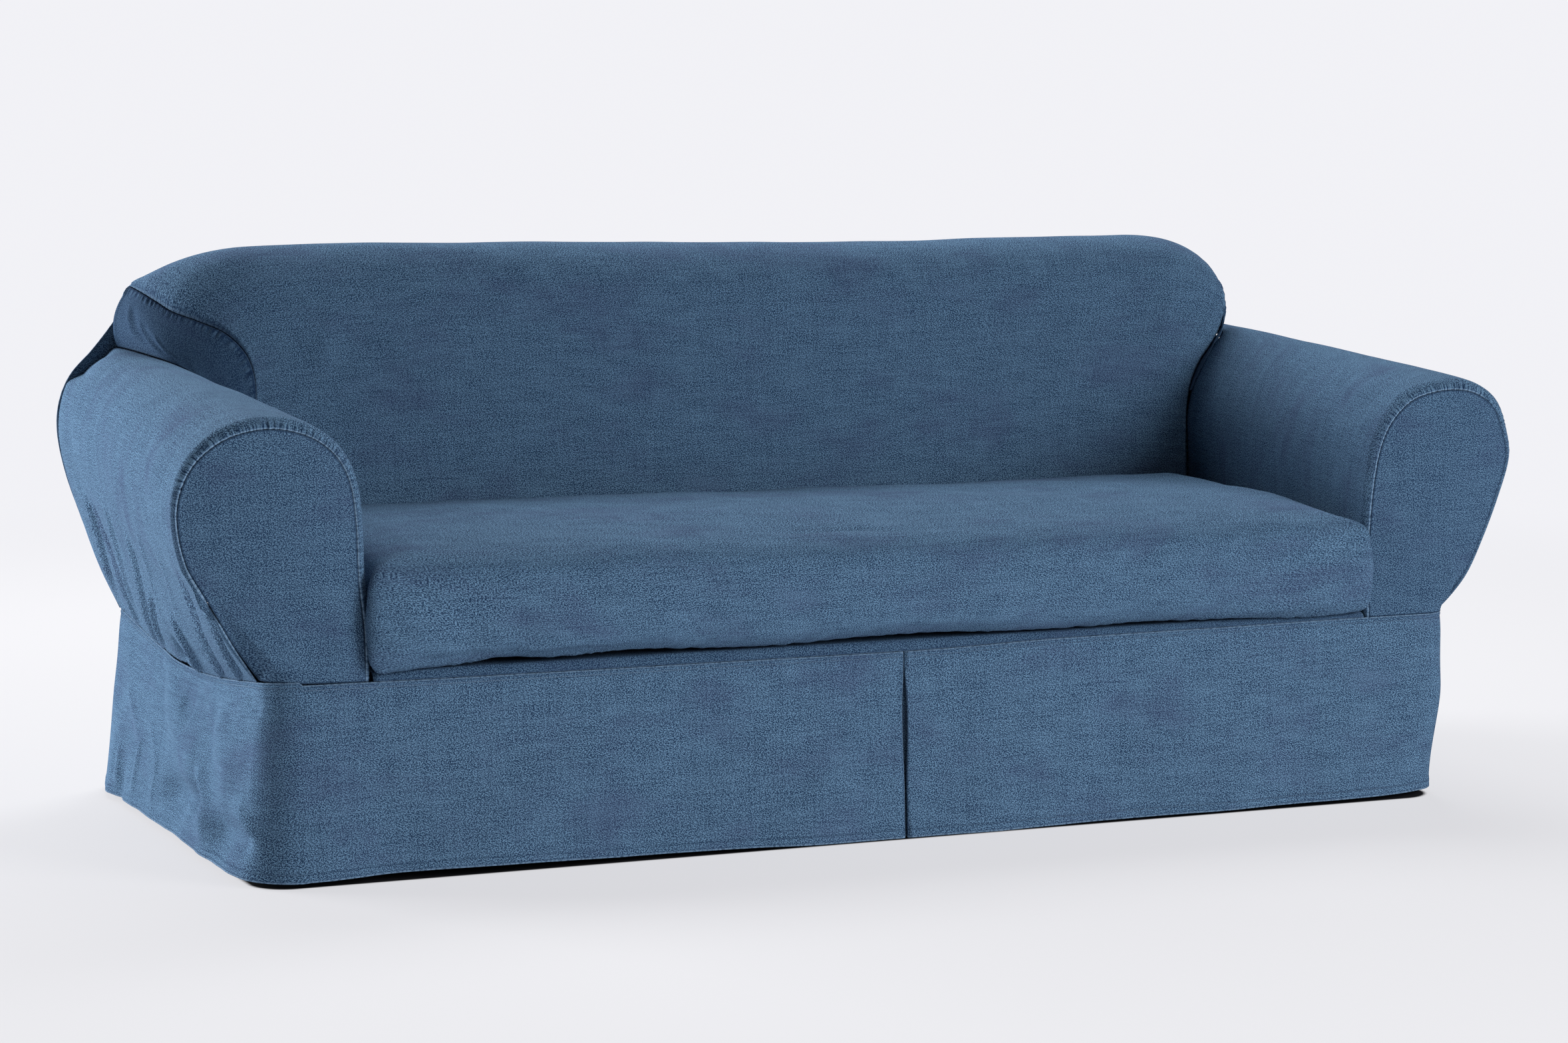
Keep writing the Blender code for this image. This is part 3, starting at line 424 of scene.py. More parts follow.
class Nodes:
    """Adds nodes to a material or a world, lined up in the editor."""

    def __init__(self, owner):
        owner.use_nodes = True
        self.all = owner.node_tree.nodes
        self.links = owner.node_tree.links

    def feed(self, socket, value):
        """Link an input to an output, or set its number or its colour."""
        if isinstance(value, bpy.types.NodeSocket):
            self.links.new(value, socket)
        elif socket.type == "RGBA":
            socket.default_value = (*value, 1.0)
        else:
            socket.default_value = value

    def add(self, kind, inputs, **options):
        """Add a node with its options, and feed its inputs by name or number."""
        node = self.all.new(kind)
        across, down = divmod(len(self.all), NODE_ROWS)
        node.location = (NODE_STEP[0] * across, NODE_STEP[1] * down)
        for name, option in options.items():
            setattr(node, name, option)
        for name, value in inputs.items():
            self.feed(node.inputs[name], value)
        return node

    def scaled(self, vector, scale, turn=0.0):
        """Coordinates scaled along each axis and turned in the sheet's plane."""
        inputs = {"Vector": vector, "Scale": scale, "Rotation": (0.0, 0.0, turn)}
        return self.add("ShaderNodeMapping", inputs).outputs["Vector"]

    def noise(self, vector, item):
        """An uneven pattern on given coordinates."""
        inputs = {"Vector": self.scaled(vector, item.scale, item.turn), "Scale": 1.0,
                  "Detail": item.detail, "Roughness": item.roughness}
        return self.add("ShaderNodeTexNoise", inputs).outputs["Fac"]

    def ramp(self, value, item):
        """Stretch a value smoothly."""
        inputs = {"Value": value, "From Min": item.low, "From Max": item.high,
                  "To Min": item.bottom, "To Max": item.top}
        node = self.add("ShaderNodeMapRange", inputs, interpolation_type="SMOOTHSTEP")
        return node.outputs["Result"]

    def math(self, operation, *values):
        """One step of arithmetic."""
        node = self.add("ShaderNodeMath", dict(enumerate(values)), operation=operation)
        return node.outputs["Value"]

    def tint(self, share, under, over):
        """Lay one colour over another by a share."""
        node = self.add("ShaderNodeMix", {}, data_type="RGBA")
        for name, value in (("Factor", share), ("A", under), ("B", over)):
            self.feed([item for item in node.inputs if item.name == name and item.enabled][0], value)
        return [item for item in node.outputs if item.enabled][0]

    def measure(self, name):
        """One of the measures kept on each panel's points."""
        node = self.add("ShaderNodeAttribute", {}, attribute_type="GEOMETRY", attribute_name=name)
        return node.outputs["Fac"]

    def bump(self, height, strength_and_depth, **under):
        """Relief from a height, over other relief where Normal is given."""
        strength, depth = strength_and_depth
        inputs = {"Height": height, "Strength": strength, "Distance": depth, **under}
        return self.add("ShaderNodeBump", inputs).outputs["Normal"]

    def mixed_shader(self, share, first, second, output):
        """Mix two shaders by a share and give the result to the output node."""
        node = self.add("ShaderNodeMixShader", {0: share, 1: first, 2: second})
        self.feed(self.all[output].inputs["Surface"], node.outputs["Shader"])


def denim(name, flat_size, look):
    """Washed denim for one panel of the given flat size, with painted shadow beside its seams and stitched
    rows, a painted highlight and shade on its little gathers, and painted shade over the whole panel where
    its look asks for it.
    """
    cloth = bpy.context.scene.cover_cloth
    material = bpy.data.materials.new(name)
    nodes = Nodes(material)
    place = nodes.add("ShaderNodeTexCoord", {})
    flat = nodes.scaled(place.outputs["UV"], (*flat_size, 1.0))

    grain = 0.0
    for thread, weight in (HEATHER, FLECK, SLUB, WARP):
        grain = nodes.math("MULTIPLY_ADD", nodes.noise(flat, thread), weight, grain)
    colour = nodes.tint(nodes.ramp(grain, DARK_THREADS), cloth.mid_blue, cloth.deep_blue)
    colour = nodes.tint(nodes.ramp(grain, PALE_THREADS), colour, cloth.pale_blue)
    cast = nodes.ramp(nodes.noise(flat, LESS_WASHED), VIOLET_PATCHES)
    colour = nodes.tint(cast, colour, cloth.violet)
    washed = nodes.ramp(nodes.noise(flat, CLOUDS), PALE_CLOUDS)
    colour = nodes.tint(washed, colour, cloth.pale_blue)

    edge = nodes.measure("edge")
    run = nodes.measure("run")
    along_seam = nodes.add("ShaderNodeCombineXYZ", {"X": run, "Y": edge})
    tick = nodes.noise(along_seam.outputs["Vector"], TICKS)
    near_seam = nodes.ramp(edge, Ramp(TICK_START, look.tick_reach, 1.0, 0.0))
    gathered = nodes.math("MULTIPLY", nodes.measure("pinch"), near_seam)
    # painted highlight on the tops of the little gathers beside a seam
    crest_highlight = nodes.math("MULTIPLY", nodes.ramp(tick, TICK_CREST_HIGHLIGHT), gathered)
    colour = nodes.tint(crest_highlight, colour, cloth.pale_blue)
    # painted shade in the dips of the little gathers
    hollow_shade = nodes.math("MULTIPLY", nodes.ramp(tick, TICK_HOLLOW_SHADE), gathered)
    colour = nodes.tint(hollow_shade, colour, cloth.deep_blue)

    width = look.worn_width
    shadow = nodes.ramp(edge, Ramp(width, width + SEAM_SHADOW, look.seam_shade, 0.0))
    colour = nodes.tint(shadow, colour, cloth.deep_blue)
    rub = nodes.ramp(edge, Ramp(width * RUB_START, width, look.worn, 0.0))
    rub = nodes.math("MULTIPLY", rub, nodes.ramp(tick, RUB_BREAKS))
    colour = nodes.tint(rub, colour, cloth.worn)

    row = nodes.measure("row")
    stitch = nodes.math("FRACT", nodes.math("MULTIPLY", run, 1.0 / STITCH_LENGTH))
    off_middle = nodes.math("ABSOLUTE", nodes.math("SUBTRACT", stitch, 0.5))
    thread = nodes.math("MULTIPLY", nodes.ramp(row, ON_ROW), nodes.ramp(off_middle, STITCH_ENDS))
    groove = nodes.ramp(row, ROW_GROOVE_AND_SHADE)
    # painted shade in the stitched row's groove
    colour = nodes.tint(groove, colour, cloth.deep_blue)
    colour = nodes.tint(thread, colour, cloth.thread)
    # painted shade over the whole panel, blended toward the deep blue
    if look.shade:
        colour = nodes.tint(look.shade, colour, cloth.deep_blue)

    relief = nodes.bump(nodes.math("SUBTRACT", thread, groove), STITCH_BUMP)
    relief = nodes.bump(nodes.math("MULTIPLY", tick, gathered), TICK_BUMP, Normal=relief)
    crumple = nodes.noise(place.outputs["Object"], CRUMPLE)
    relief = nodes.bump(crumple, CRUMPLE_BUMP, Normal=relief)
    relief = nodes.bump(grain, GRAIN_BUMP, Normal=relief)
    finish = {"Base Color": colour, "Normal": relief, "Roughness": cloth.roughness, **CLOTH_SHEEN}
    for socket, value in finish.items():
        nodes.feed(nodes.all["Principled BSDF"].inputs[socket], value)
    return material


# ---- the sheet maker that every panel uses ----
class Look(NamedTuple):
    """How one panel is worn along its seams, with the painted shadow beside them, a painted highlight and
    shade on the little gathers, and any painted shade over the whole panel.
    """
    worn: float = 0.6           # how pale the rubbed line at the seam is
    worn_width: float = 0.0026
    seam_shade: float = 0.45    # how dark the line beside it is
    tick_reach: float = 0.014   # how far the small gathers reach
    shade: float = 0.0          # painted shade that darkens the whole panel


class Sheet(NamedTuple):
    """What one sheet of cloth stands for, the size it is cut to, and how it looks."""
    node: str
    flat: tuple             # width and length in metres
    area: float             # flat area in square metres, None where the cut is a rectangle
    held: str
    rests_on: list
    look: Look


ARM_LOOK = Look(0.85, 0.0028, 0.25, 0.016)
ARM_FRONT_LOOK = Look(0.2, 0.0010, 0.65, 0.007)
# the back and its gathered ends carry painted shade over the whole panel, the ends heavily
BACK_LOOK = Look(0.30, 0.0014, 0.40, 0.012, 0.10)
BACK_END_LOOK = Look(0.35, 0.0010, 0.8, 0.014, 0.62)
SKIRT_LOOK = Look(0.65, 0.0034, 0.35)
CUSHION_LOOK = Look(worn=0.0, seam_shade=0.0)
# the deck, seen in the gap under the cushion, carries painted shade
DECK_LOOK = Look(shade=0.35)
OUTSIDE_LOOK = Look()
# the arms' front panels carry painted shade, the right one more
LEFT_FRONT_PAINTED_SHADE = ARM_FRONT_LOOK._replace(shade=0.18)
RIGHT_FRONT_PAINTED_SHADE = ARM_FRONT_LOOK._replace(shade=0.25)

SHEETS = {
    "arm_left_sheet": Sheet("arm_left", (1.26, 0.93), 0.815, "stretched", [], ARM_LOOK),
    "arm_right_sheet": Sheet("arm_right", (1.26, 0.93), 0.783, "stretched", [], ARM_LOOK),
    "arm_left_front": Sheet(
        "arm_front_left", (0.30, 0.40), 0.085, "stretched", ["arm_left_sheet"], LEFT_FRONT_PAINTED_SHADE),
    "arm_right_front": Sheet(
        "arm_front_right", (0.30, 0.40), 0.077, "stretched", ["arm_right_sheet"], RIGHT_FRONT_PAINTED_SHADE),
    "back_sheet": Sheet("back_cover", (1.96, 0.80), 1.388, "stretched", [], BACK_LOOK),
    "back_end_left_sheet": Sheet(
        "back_end_left", (0.36, 0.20), 0.032, "gathered", ["back_sheet"], BACK_END_LOOK),
    "back_end_right_sheet": Sheet(
        "back_end_right", (0.36, 0.20), 0.0216, "gathered", ["back_sheet"], BACK_END_LOOK),
    "outside_back_sheet": Sheet(
        "outside_back", (2.20, 0.57), 1.182, "stretched", ["back_sheet"], OUTSIDE_LOOK),
    "deck_sheet": Sheet("deck", (1.69, 0.61), 1.027, "laid", [], DECK_LOOK),
    "seat_cushion_sheet": Sheet(
        "seat_cushion_cover", (1.95, 0.98), None, "stretched", ["deck_sheet"], CUSHION_LOOK),
    "skirt_sheet": Sheet("skirt", (6.20, 0.30), None, "hung", ["deck_sheet"], SKIRT_LOOK),
}

NO_ROW = 0.05               # the distance given where no row of stitching is near


def grid(columns, rows):
    """Shares u, v over a grid of columns and rows."""
    return np.meshgrid(np.linspace(0.0, 1.0, columns + 1), np.linspace(0.0, 1.0, rows + 1))


def facing(positions):
    """Outward directions of a grid of positions."""
    along = np.gradient(positions, axis=1)
    up = np.gradient(positions, axis=0)
    return unit(np.cross(along, up))


def raised(positions, relief):
    """A grid of positions moved outwards by its relief."""
    return positions + facing(positions) * relief[..., None]


def laid_flat(positions):
    """Where each point of a panel lies in the flat cloth, in metres from its corner."""
    steps_s = np.linalg.norm(np.diff(positions, axis=1), axis=-1).mean(axis=0)
    steps_t = np.linalg.norm(np.diff(positions, axis=0), axis=-1).mean(axis=1)
    places_s = np.concatenate([[0.0], np.cumsum(steps_s)])
    places_t = np.concatenate([[0.0], np.cumsum(steps_t)])
    return np.stack(np.meshgrid(places_s, places_t), axis=-1)


def sew(name, positions, measures, cut=None):
    sheet = SHEETS[name]
    rows, columns = positions.shape[0] - 1, positions.shape[1] - 1
    cut = laid_flat(positions) if cut is None else cut - cut.min(axis=(0, 1))
    size = cut.max(axis=(0, 1))
    work = bmesh.new()
    work.loops.layers.uv.verify()
    bmesh.ops.create_grid(work, x_segments=columns, y_segments=rows, size=0.5, calc_uvs=True)
    layers = {key: work.verts.layers.float.new(key) for key in ("edge", "run", "row", "pinch")}
    local = positions - HANGING_POINT
    nowhere = np.zeros(positions.shape[:2])
    measures = {"row": nowhere + NO_ROW, "pinch": nowhere, **measures}
    for vertex in work.verts:
        i = round((vertex.co.x + 0.5) * columns)
        j = round((vertex.co.y + 0.5) * rows)
        for key, layer in layers.items():
            vertex[layer] = float(measures[key][j, i])
        vertex.co = local[j, i]
    bmesh.ops.remove_doubles(work, verts=work.verts[:], dist=0.00001)
    mesh = bpy.data.meshes.new(name)
    work.to_mesh(mesh)
    work.free()
    mesh.shade_smooth()
    places = np.empty(2 * len(mesh.loops), np.float32)
    mesh.uv_layers[0].data.foreach_get("uv", places)
    index = np.rint(places.reshape(-1, 2) * (columns, rows)).astype(int)
    places = (cut[index[:, 1], index[:, 0]] / size).astype(np.float32)
    mesh.uv_layers[0].data.foreach_set("uv", places.ravel())
    panel = bpy.data.objects.new(name, mesh)
    bpy.context.scene.collection.objects.link(panel)
    mesh.materials.append(denim(f"{name}_denim", tuple(size), sheet.look))
    cloth = panel.modifiers.new("cloth thickness", "SOLIDIFY")
    cloth.thickness = bpy.context.scene.cover_cloth.thickness
    cloth.offset = -1.0
    cloth.use_even_offset = False
    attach(panel, "root")
    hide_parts(sheet.node)


CALM = (0.0, 0.05)          # metres from a seam over which the broad unevenness sets in


# ---- arms ----
class ArmStation(NamedTuple):
    """One station round an arm, from the seat over the roll to the skirt."""
    where: str
    seam_across: float      # the front panel's seam
    seam_depth: float
    seam_height: float
    roll: float             # radius of the rolled front edge
    rear_across: float      # the same station at the rear seam
    rear_height: float
    end_depth: float        # where the arm's sheet stops at the back


LEFT_ARM = [
    ArmStation("inner foot", 0.852, 0.000, 0.2988, 0.006, 0.852, 0.306, 0.612),
    ArmStation("inner low", 0.853, 0.000, 0.370, 0.009, 0.856, 0.400, 0.617),
    ArmStation("inner middle", 0.861, 0.000, 0.450, 0.012, 0.860, 0.500, 0.625),
    ArmStation("inner high", 0.864, 0.000, 0.530, 0.014, 0.862, 0.590, 0.640),
    ArmStation("roll in", 0.872, 0.000, 0.590, 0.015, 0.875, 0.645, 0.650),
    ArmStation("roll up", 0.892, 0.000, 0.631, 0.016, 0.896, 0.683, 0.660),
    ArmStation("inner shoulder", 0.926, 0.000, 0.659, 0.017, 0.928, 0.714, 0.672),
    ArmStation("top in", 0.972, 0.000, 0.674, 0.018, 0.966, 0.734, 0.718),
    ArmStation("top", 1.018, 0.000, 0.674, 0.018, 1.000, 0.738, 0.890),
    ArmStation("top out", 1.064, 0.000, 0.660, 0.016, 1.035, 0.731, 0.905),
    ArmStation("outer shoulder", 1.103, 0.000, 0.630, 0.013, 1.070, 0.702, 0.905),
    ArmStation("roll out", 1.126, 0.000, 0.588, 0.010, 1.092, 0.655, 0.905),
    ArmStation("widest", 1.131, 0.000, 0.540, 0.008, 1.098, 0.598, 0.905),
    ArmStation("under the roll", 1.117, 0.000, 0.478, 0.008, 1.086, 0.530, 0.905),
    ArmStation("outer high", 1.082, 0.002, 0.418, 0.007, 1.062, 0.455, 0.905),
    ArmStation("outer low", 1.046, 0.018, 0.360, 0.006, 1.034, 0.375, 0.905),
    ArmStation("outer foot", 1.0005, 0.058, 0.3042, 0.001, 1.0005, 0.3042, 0.905),
]

RIGHT_ARM = [
    ArmStation("inner foot", 0.852, 0.000, 0.3038, 0.006, 0.855, 0.306, 0.612),
    ArmStation("inner low", 0.850, 0.000, 0.370, 0.009, 0.858, 0.400, 0.617),
    ArmStation("inner middle", 0.851, 0.000, 0.450, 0.011, 0.862, 0.500, 0.625),
    ArmStation("inner high", 0.859, 0.000, 0.532, 0.013, 0.868, 0.590, 0.643),
    ArmStation("roll in", 0.872, 0.000, 0.588, 0.014, 0.884, 0.640, 0.652),
    ArmStation("roll up", 0.894, 0.000, 0.627, 0.015, 0.910, 0.680, 0.660),
    ArmStation("inner shoulder", 0.928, 0.000, 0.656, 0.017, 0.940, 0.713, 0.680),
    ArmStation("top in", 0.968, 0.000, 0.668, 0.018, 0.970, 0.738, 0.716),
    ArmStation("top", 1.008, 0.000, 0.671, 0.019, 1.000, 0.743, 0.890),
    ArmStation("top out", 1.047, 0.000, 0.664, 0.018, 1.034, 0.731, 0.905),
    ArmStation("outer shoulder", 1.082, 0.000, 0.641, 0.017, 1.070, 0.706, 0.905),
    ArmStation("roll out", 1.101, 0.000, 0.600, 0.014, 1.092, 0.655, 0.905),
    ArmStation("widest", 1.109, 0.000, 0.555, 0.010, 1.098, 0.598, 0.905),
    ArmStation("under the roll", 1.090, 0.000, 0.492, 0.009, 1.080, 0.530, 0.905),
    ArmStation("outer high", 1.063, 0.000, 0.425, 0.007, 1.056, 0.455, 0.905),
    ArmStation("outer low", 1.034, 0.006, 0.362, 0.006, 1.030, 0.375, 0.905),
    ArmStation("outer foot", 1.0105, 0.046, 0.3042, 0.001, 1.0105, 0.3042, 0.905),
]

ARM_ROWS = 124
ROLL_SHARE = 0.10           # the share of the depth rows that turns round the front roll
ROLL_EXTRA = 0.57           # a quarter turn is longer than its radius by this share
ROW_CROWDING = 0.3          # the rows lie closer up to this share of the depth
TAPER_POWER = 0.85
OUTLINE_STEP = 0.01
AROUND = 1.25               # metres round an arm for one share of its outline

# shares of the outline, or metres where they start from a seam
FOOT_SAG = (0.78, 1.0)
ROLL_GATHERS_IN = (0.22, 0.36)
ROLL_GATHERS_OUT = (0.78, 0.64)
INNER_GATHERS = (0.30, 0.20)
INNER_GATHER_SHARE = 0.35
OUTER_CALM = (1.0, 0.96)
INNER_CALM = (0.0, 0.04)
REAR_CALM = (1.0, 0.95)
FOOT_FLATTENING = (0.002, 0.030)
FOOT_KEEP = 0.3             # the share of the relief that is left at the skirt's seam
RUBBED_END = 0.06
UNRUBBED = 0.01
ARM_FOOT_WEAR = 0.0005      # added to the distance from the seam, so it is less rubbed, and its painted shadow sits a little nearer the seam
ARM_WELTS = (Ridge(1.0, 0.0035, 0.0035), Ridge(-0.7, 0.0, 0.0021))
ARM_WAVES = (Wave(0.8, 0.37, 1.0), Wave(0.10, 0.11, 2.0))
ARM_GATHERS = Gather(1.0, 0.0160, 1.0, 0.003, 0.020)
ARM_FOOT_GATHERS = Gather(2 / 3, 0.021, 0.4, 0.0, 0.030)

# s is the share round the arm times AROUND, t is the depth
LEFT_ARM_FOLDS = [
    Fold("along the seam", 1.000, 0.012, 1.110, 0.020, 1.250, 0.160, 0.0068, 0.0062, 1.0, True),
    Fold("second", 1.010, 0.061, 1.130, 0.150, 1.250, 0.262, 0.0068, 0.0072, 1.0, True),
    Fold("third", 1.130, 0.345, 1.180, 0.325, 1.250, 0.395, 0.0074, 0.0103, 0.0, True),
    Fold("dark pocket", 1.190, 0.420, 1.220, 0.450, 1.250, 0.475, 0.0163, -0.0115, 0.0, True),
    Fold("fourth", 1.110, 0.424, 1.176, 0.530, 1.250, 0.625, 0.0074, 0.0057, 1.0, True),
    Fold("fifth", 1.020, 0.448, 1.120, 0.525, 1.250, 0.665, 0.0095, 0.0052, 1.0, True),
    Fold("faint front", 1.000, 0.180, 1.080, 0.250, 1.190, 0.330, 0.0082, 0.0025),
    Fold("faint middle", 1.000, 0.320, 1.080, 0.380, 1.190, 0.460, 0.0082, 0.0026),
    Fold("faint rear", 0.980, 0.560, 1.090, 0.630, 1.220, 0.730, 0.0102, 0.0036, 1.0),
    Fold("rear hollow", 0.975, 0.840, 1.060, 0.780, 1.160, 0.720, 0.0272, -0.0052),
    Fold("rear ridge", 1.020, 0.817, 1.110, 0.805, 1.225, 0.900, 0.0095, 0.0062, 1.0),
    Fold("rear inner ridge", 1.010, 0.740, 1.110, 0.715, 1.250, 0.790, 0.0095, 0.0048, 1.0, True),
    Fold("rear top dip", 0.625, 0.930, 0.725, 0.930, 0.825, 0.930, 0.085, -0.0170),
]

RIGHT_ARM_FOLDS = [
    Fold("outer middle", 1.020, 0.260, 1.120, 0.320, 1.230, 0.440, 0.018, 0.0035, 1.0),
    Fold("outer rear", 1.020, 0.560, 1.120, 0.640, 1.230, 0.740, 0.018, 0.0045, 1.0),
]


class Arm(NamedTuple):
    """An arm's side, its stations and its folds."""
    name: str
    side: float
    stations: list
    folds: list
    side_seam_sag: float
    columns: int            # steps round the arm
    rubbed: float           # the share of the outline whose seam is rubbed pale and has the painted shadow beside it


ARMS = [
    Arm("left", -1.0, LEFT_ARM, LEFT_ARM_FOLDS, 0.036, 310, 1.0),
    Arm("right", 1.0, RIGHT_ARM, RIGHT_ARM_FOLDS, 0.022, 230, 0.58),
]


def front_seam(arm, share):
    """The seam between an arm's sheet and its front panel."""
    return point(
        arm.side * curve(column(arm.stations, "seam_across"), share),
        curve(column(arm.stations, "seam_depth"), share),
        curve(column(arm.stations, "seam_height"), share),
    )


def outward(arm, share):
    """The direction square to the arm's outline, seen from the front."""
    after = front_seam(arm, np.minimum(share + OUTLINE_STEP, 1.0))
    run = after - front_seam(arm, np.maximum(share - OUTLINE_STEP, 0.0))
    return unit(point(-arm.side * run[..., 2], 0.0, arm.side * run[..., 0]))


def side_sag(arm, depth):
    """How far the side seam of the skirt hangs below its corners."""
    along = np.clip(depth / SKIRT_DEPTH, 0.0, 1.0)
    return arm.side_seam_sag * np.sin(math.pi * along) ** 1.2


def arm_shape(arm, share, along):
    """A point of an arm's sheet: share from seat to skirt, along from front to rear."""
    seam = front_seam(arm, share)
    normal = outward(arm, share)
    roll = curve(column(arm.stations, "roll"), share)
    angle = np.clip(along / ROLL_SHARE, 0.0, 1.0) * math.pi * 0.5
    start = seam[..., 1] + roll
    end = np.minimum(curve(column(arm.stations, "end_depth"), share), BACK_REAR_DEPTH)
    straight = np.clip((along - ROLL_SHARE) / (1.0 - ROLL_SHARE), 0.0, 1.0)
    turned = seam[..., 1] + roll * (1.0 - np.cos(angle))
    depth = np.where(along <= ROLL_SHARE, turned, mix(start, end, straight))
    rounded = seam + normal * (roll * np.sin(angle))[..., None]
    section = np.clip((depth - start) / (BACK_REAR_DEPTH - start), 0.0, 1.0)
    rear = point(
        arm.side * curve(column(arm.stations, "rear_across"), share),
        depth,
        curve(column(arm.stations, "rear_height"), share),
    )
    result = mix(rounded, rear, (section ** TAPER_POWER)[..., None])
    result[..., 1] = depth
    result[..., 2] -= side_sag(arm, depth) * smoothstep(*FOOT_SAG, share)
    return result


def arm_sheet(arm):
    """The long sheet over an arm, from the seat to the skirt."""
    u, v = grid(arm.columns, ARM_ROWS)
    share = u if arm.side > 0.0 else 1.0 - u
    v = np.where(v < ROW_CROWDING, v * v / (2.0 * ROW_CROWDING) + v * 0.5, v)
    base = arm_shape(arm, share, v)
    s = share * AROUND
    t = base[..., 1]
    roll = curve(column(arm.stations, "roll"), share)
    past_roll = t - front_seam(arm, share)[..., 1] + roll * ROLL_EXTRA
    edge = np.where(v <= ROLL_SHARE, v / ROLL_SHARE * roll * math.pi * 0.5, past_roll)
    foot = (1.0 - share) * AROUND
    gathered = smoothstep(*ROLL_GATHERS_IN, share) * smoothstep(*ROLL_GATHERS_OUT, share)
    gathered += INNER_GATHER_SHARE * smoothstep(*INNER_GATHERS, share)
    settle = smoothstep(*CALM, edge) * smoothstep(*REAR_CALM, v)
    settle *= smoothstep(*OUTER_CALM, share) * smoothstep(*INNER_CALM, share)
    relief = fold_relief(arm.folds, s, t) + welts(ARM_WELTS, edge)
    relief += gathered * gathers(ARM_GATHERS, s, edge, arm.side)
    relief += uneven(ARM_WAVES, s, t, arm.side) * settle
    relief *= FOOT_KEEP + (1.0 - FOOT_KEEP) * smoothstep(*FOOT_FLATTENING, foot)
    relief += gathers(ARM_FOOT_GATHERS, t, foot) * smoothstep(*CALM, edge)
    hidden = UNRUBBED * smoothstep(arm.rubbed, arm.rubbed + RUBBED_END, share)
    # the distance from the seams carries the worn line and the painted shadow beside it
    worn_and_painted_shadow_edge = np.minimum(edge + hidden, foot + ARM_FOOT_WEAR)
    measures = {"edge": worn_and_painted_shadow_edge, "run": s, "pinch": gathered}
    sew(f"arm_{arm.name}_sheet", raised(base, relief), measures)


FRONT_AROUND = 240
FRONT_RINGS = 40
FRONT_CROWN = 0.009
FRONT_CENTRE_HEIGHT = 0.520
FRONT_CENTRE_ACROSS = 0.985
FRONT_CROWDING = 0.45       # the rings lie closer near the seam by this share
FRONT_SEAM_SHARE = 30 / 35  # the foot takes the rest of the way round
CORNER_SHARE = 0.5
FOOT_TUCK = 0.0018
FOOT_TUCK_START = 20.0
SEAM_FLUSH = 12.0           # how fast the relief grows from nothing at the seam
DEPTH_BLEND = (0.0, 0.17)
FRONT_GATHERS_OUT = 0.08
FRONT_GATHERS_IN = (0.0, 0.03)
FRONT_PINCH = 0.4
FRONT_CALM = (0.01, 0.06)
FRONT_WELTS = (Ridge(-0.6, 0.0, 0.0030), Ridge(0.15, 0.006, 0.004))
FRONT_WAVES = (Wave(0.7, 0.17, 1.0),)
FRONT_GATHERS = Gather(0.35, 0.0150, 1.0, 0.003, 0.014)


def front_outline(arm, around):
    """The edge of a front panel: up and over the seam, then back along its foot."""
    upper = front_seam(arm, np.clip(around / FRONT_SEAM_SHARE, 0.0, 1.0))
    share = np.clip((around - FRONT_SEAM_SHARE) / (1.0 - FRONT_SEAM_SHARE), 0.0, 1.0)
    outer = front_seam(arm, np.array(1.0))
    inner = front_seam(arm, np.array(0.0))
    bend = abs(outer[0]) - CORNER_RADIUS
    height = mix(outer[2], inner[2], share)
    angle = np.clip(share / CORNER_SHARE, 0.0, 1.0) * math.pi * 0.5
    past = np.clip((share - CORNER_SHARE) / (1.0 - CORNER_SHARE), 0.0, 1.0)
    turned = bend + CORNER_RADIUS * np.cos(angle)
    across = np.where(share < CORNER_SHARE, turned, mix(bend, abs(inner[0]), past))
    depth = outer[1] * (1.0 - np.sin(angle))
    tuck = FOOT_TUCK * np.minimum(np.minimum(share, 1.0 - share) * FOOT_TUCK_START, 1.0)
    lower = point(arm.side * across, depth + tuck, height - tuck)
    return np.where((around <= FRONT_SEAM_SHARE)[..., None], upper, lower)


def arm_front(arm):
    """A pear-shaped front panel, slightly crowned inside its seam."""
    u, v = grid(FRONT_AROUND, FRONT_RINGS)
    v = v * (1.0 - FRONT_CROWDING + FRONT_CROWDING * v)
    around = u if arm.side < 0.0 else 1.0 - u
    edge_line = front_outline(arm, around)
    centre = point(arm.side * FRONT_CENTRE_ACROSS, -FRONT_CROWN, FRONT_CENTRE_HEIGHT)
    toward = centre - edge_line
    toward[..., 1] = 0.0
    edge = v * np.linalg.norm(toward, axis=-1)
    base_edge = edge_line + unit(toward) * SEAM_GAP
    base = mix(base_edge, centre, v[..., None])
    depth = mix(base_edge[..., 1], 0.0, smoothstep(*DEPTH_BLEND, v))
    run = around * AROUND / FRONT_SEAM_SHARE
    gathered = smoothstep(FRONT_SEAM_SHARE, FRONT_SEAM_SHARE - FRONT_GATHERS_OUT, around)
    gathered *= smoothstep(*FRONT_GATHERS_IN, around)
    relief = welts(FRONT_WELTS, edge) + gathered * gathers(FRONT_GATHERS, run, edge, arm.side)
    relief += uneven(FRONT_WAVES, base[..., 0], base[..., 2], arm.side) * smoothstep(*FRONT_CALM, edge)
    relief *= np.minimum(v * SEAM_FLUSH, 1.0)
    base[..., 1] = depth - FRONT_CROWN * (1.0 - (1.0 - v) ** 2) - relief
    measures = {"edge": edge, "run": run, "pinch": FRONT_PINCH * gathered}
    sew(f"arm_{arm.name}_front", base, measures, base[..., (0, 2)])


class SewArms(bpy.types.Operator):
    """Sew both arm sheets and their front panels."""
    bl_idname = "cover.arms"
    bl_label = "Sew Arms"
    bl_options = {"REGISTER", "UNDO"}

    def execute(self, context):
        for arm in ARMS:
            arm_sheet(arm)
            arm_front(arm)
        return {"FINISHED"}


# ---- back ----
class BackLevel(NamedTuple):
    """One level of the back cover, from its foot over the top to the rear seam."""
    where: str
    middle_depth: float
    middle_height: float
    left_across: float      # the seams with the end panels
    left_depth: float
    left_height: float
    right_across: float
    right_depth: float
    right_height: float


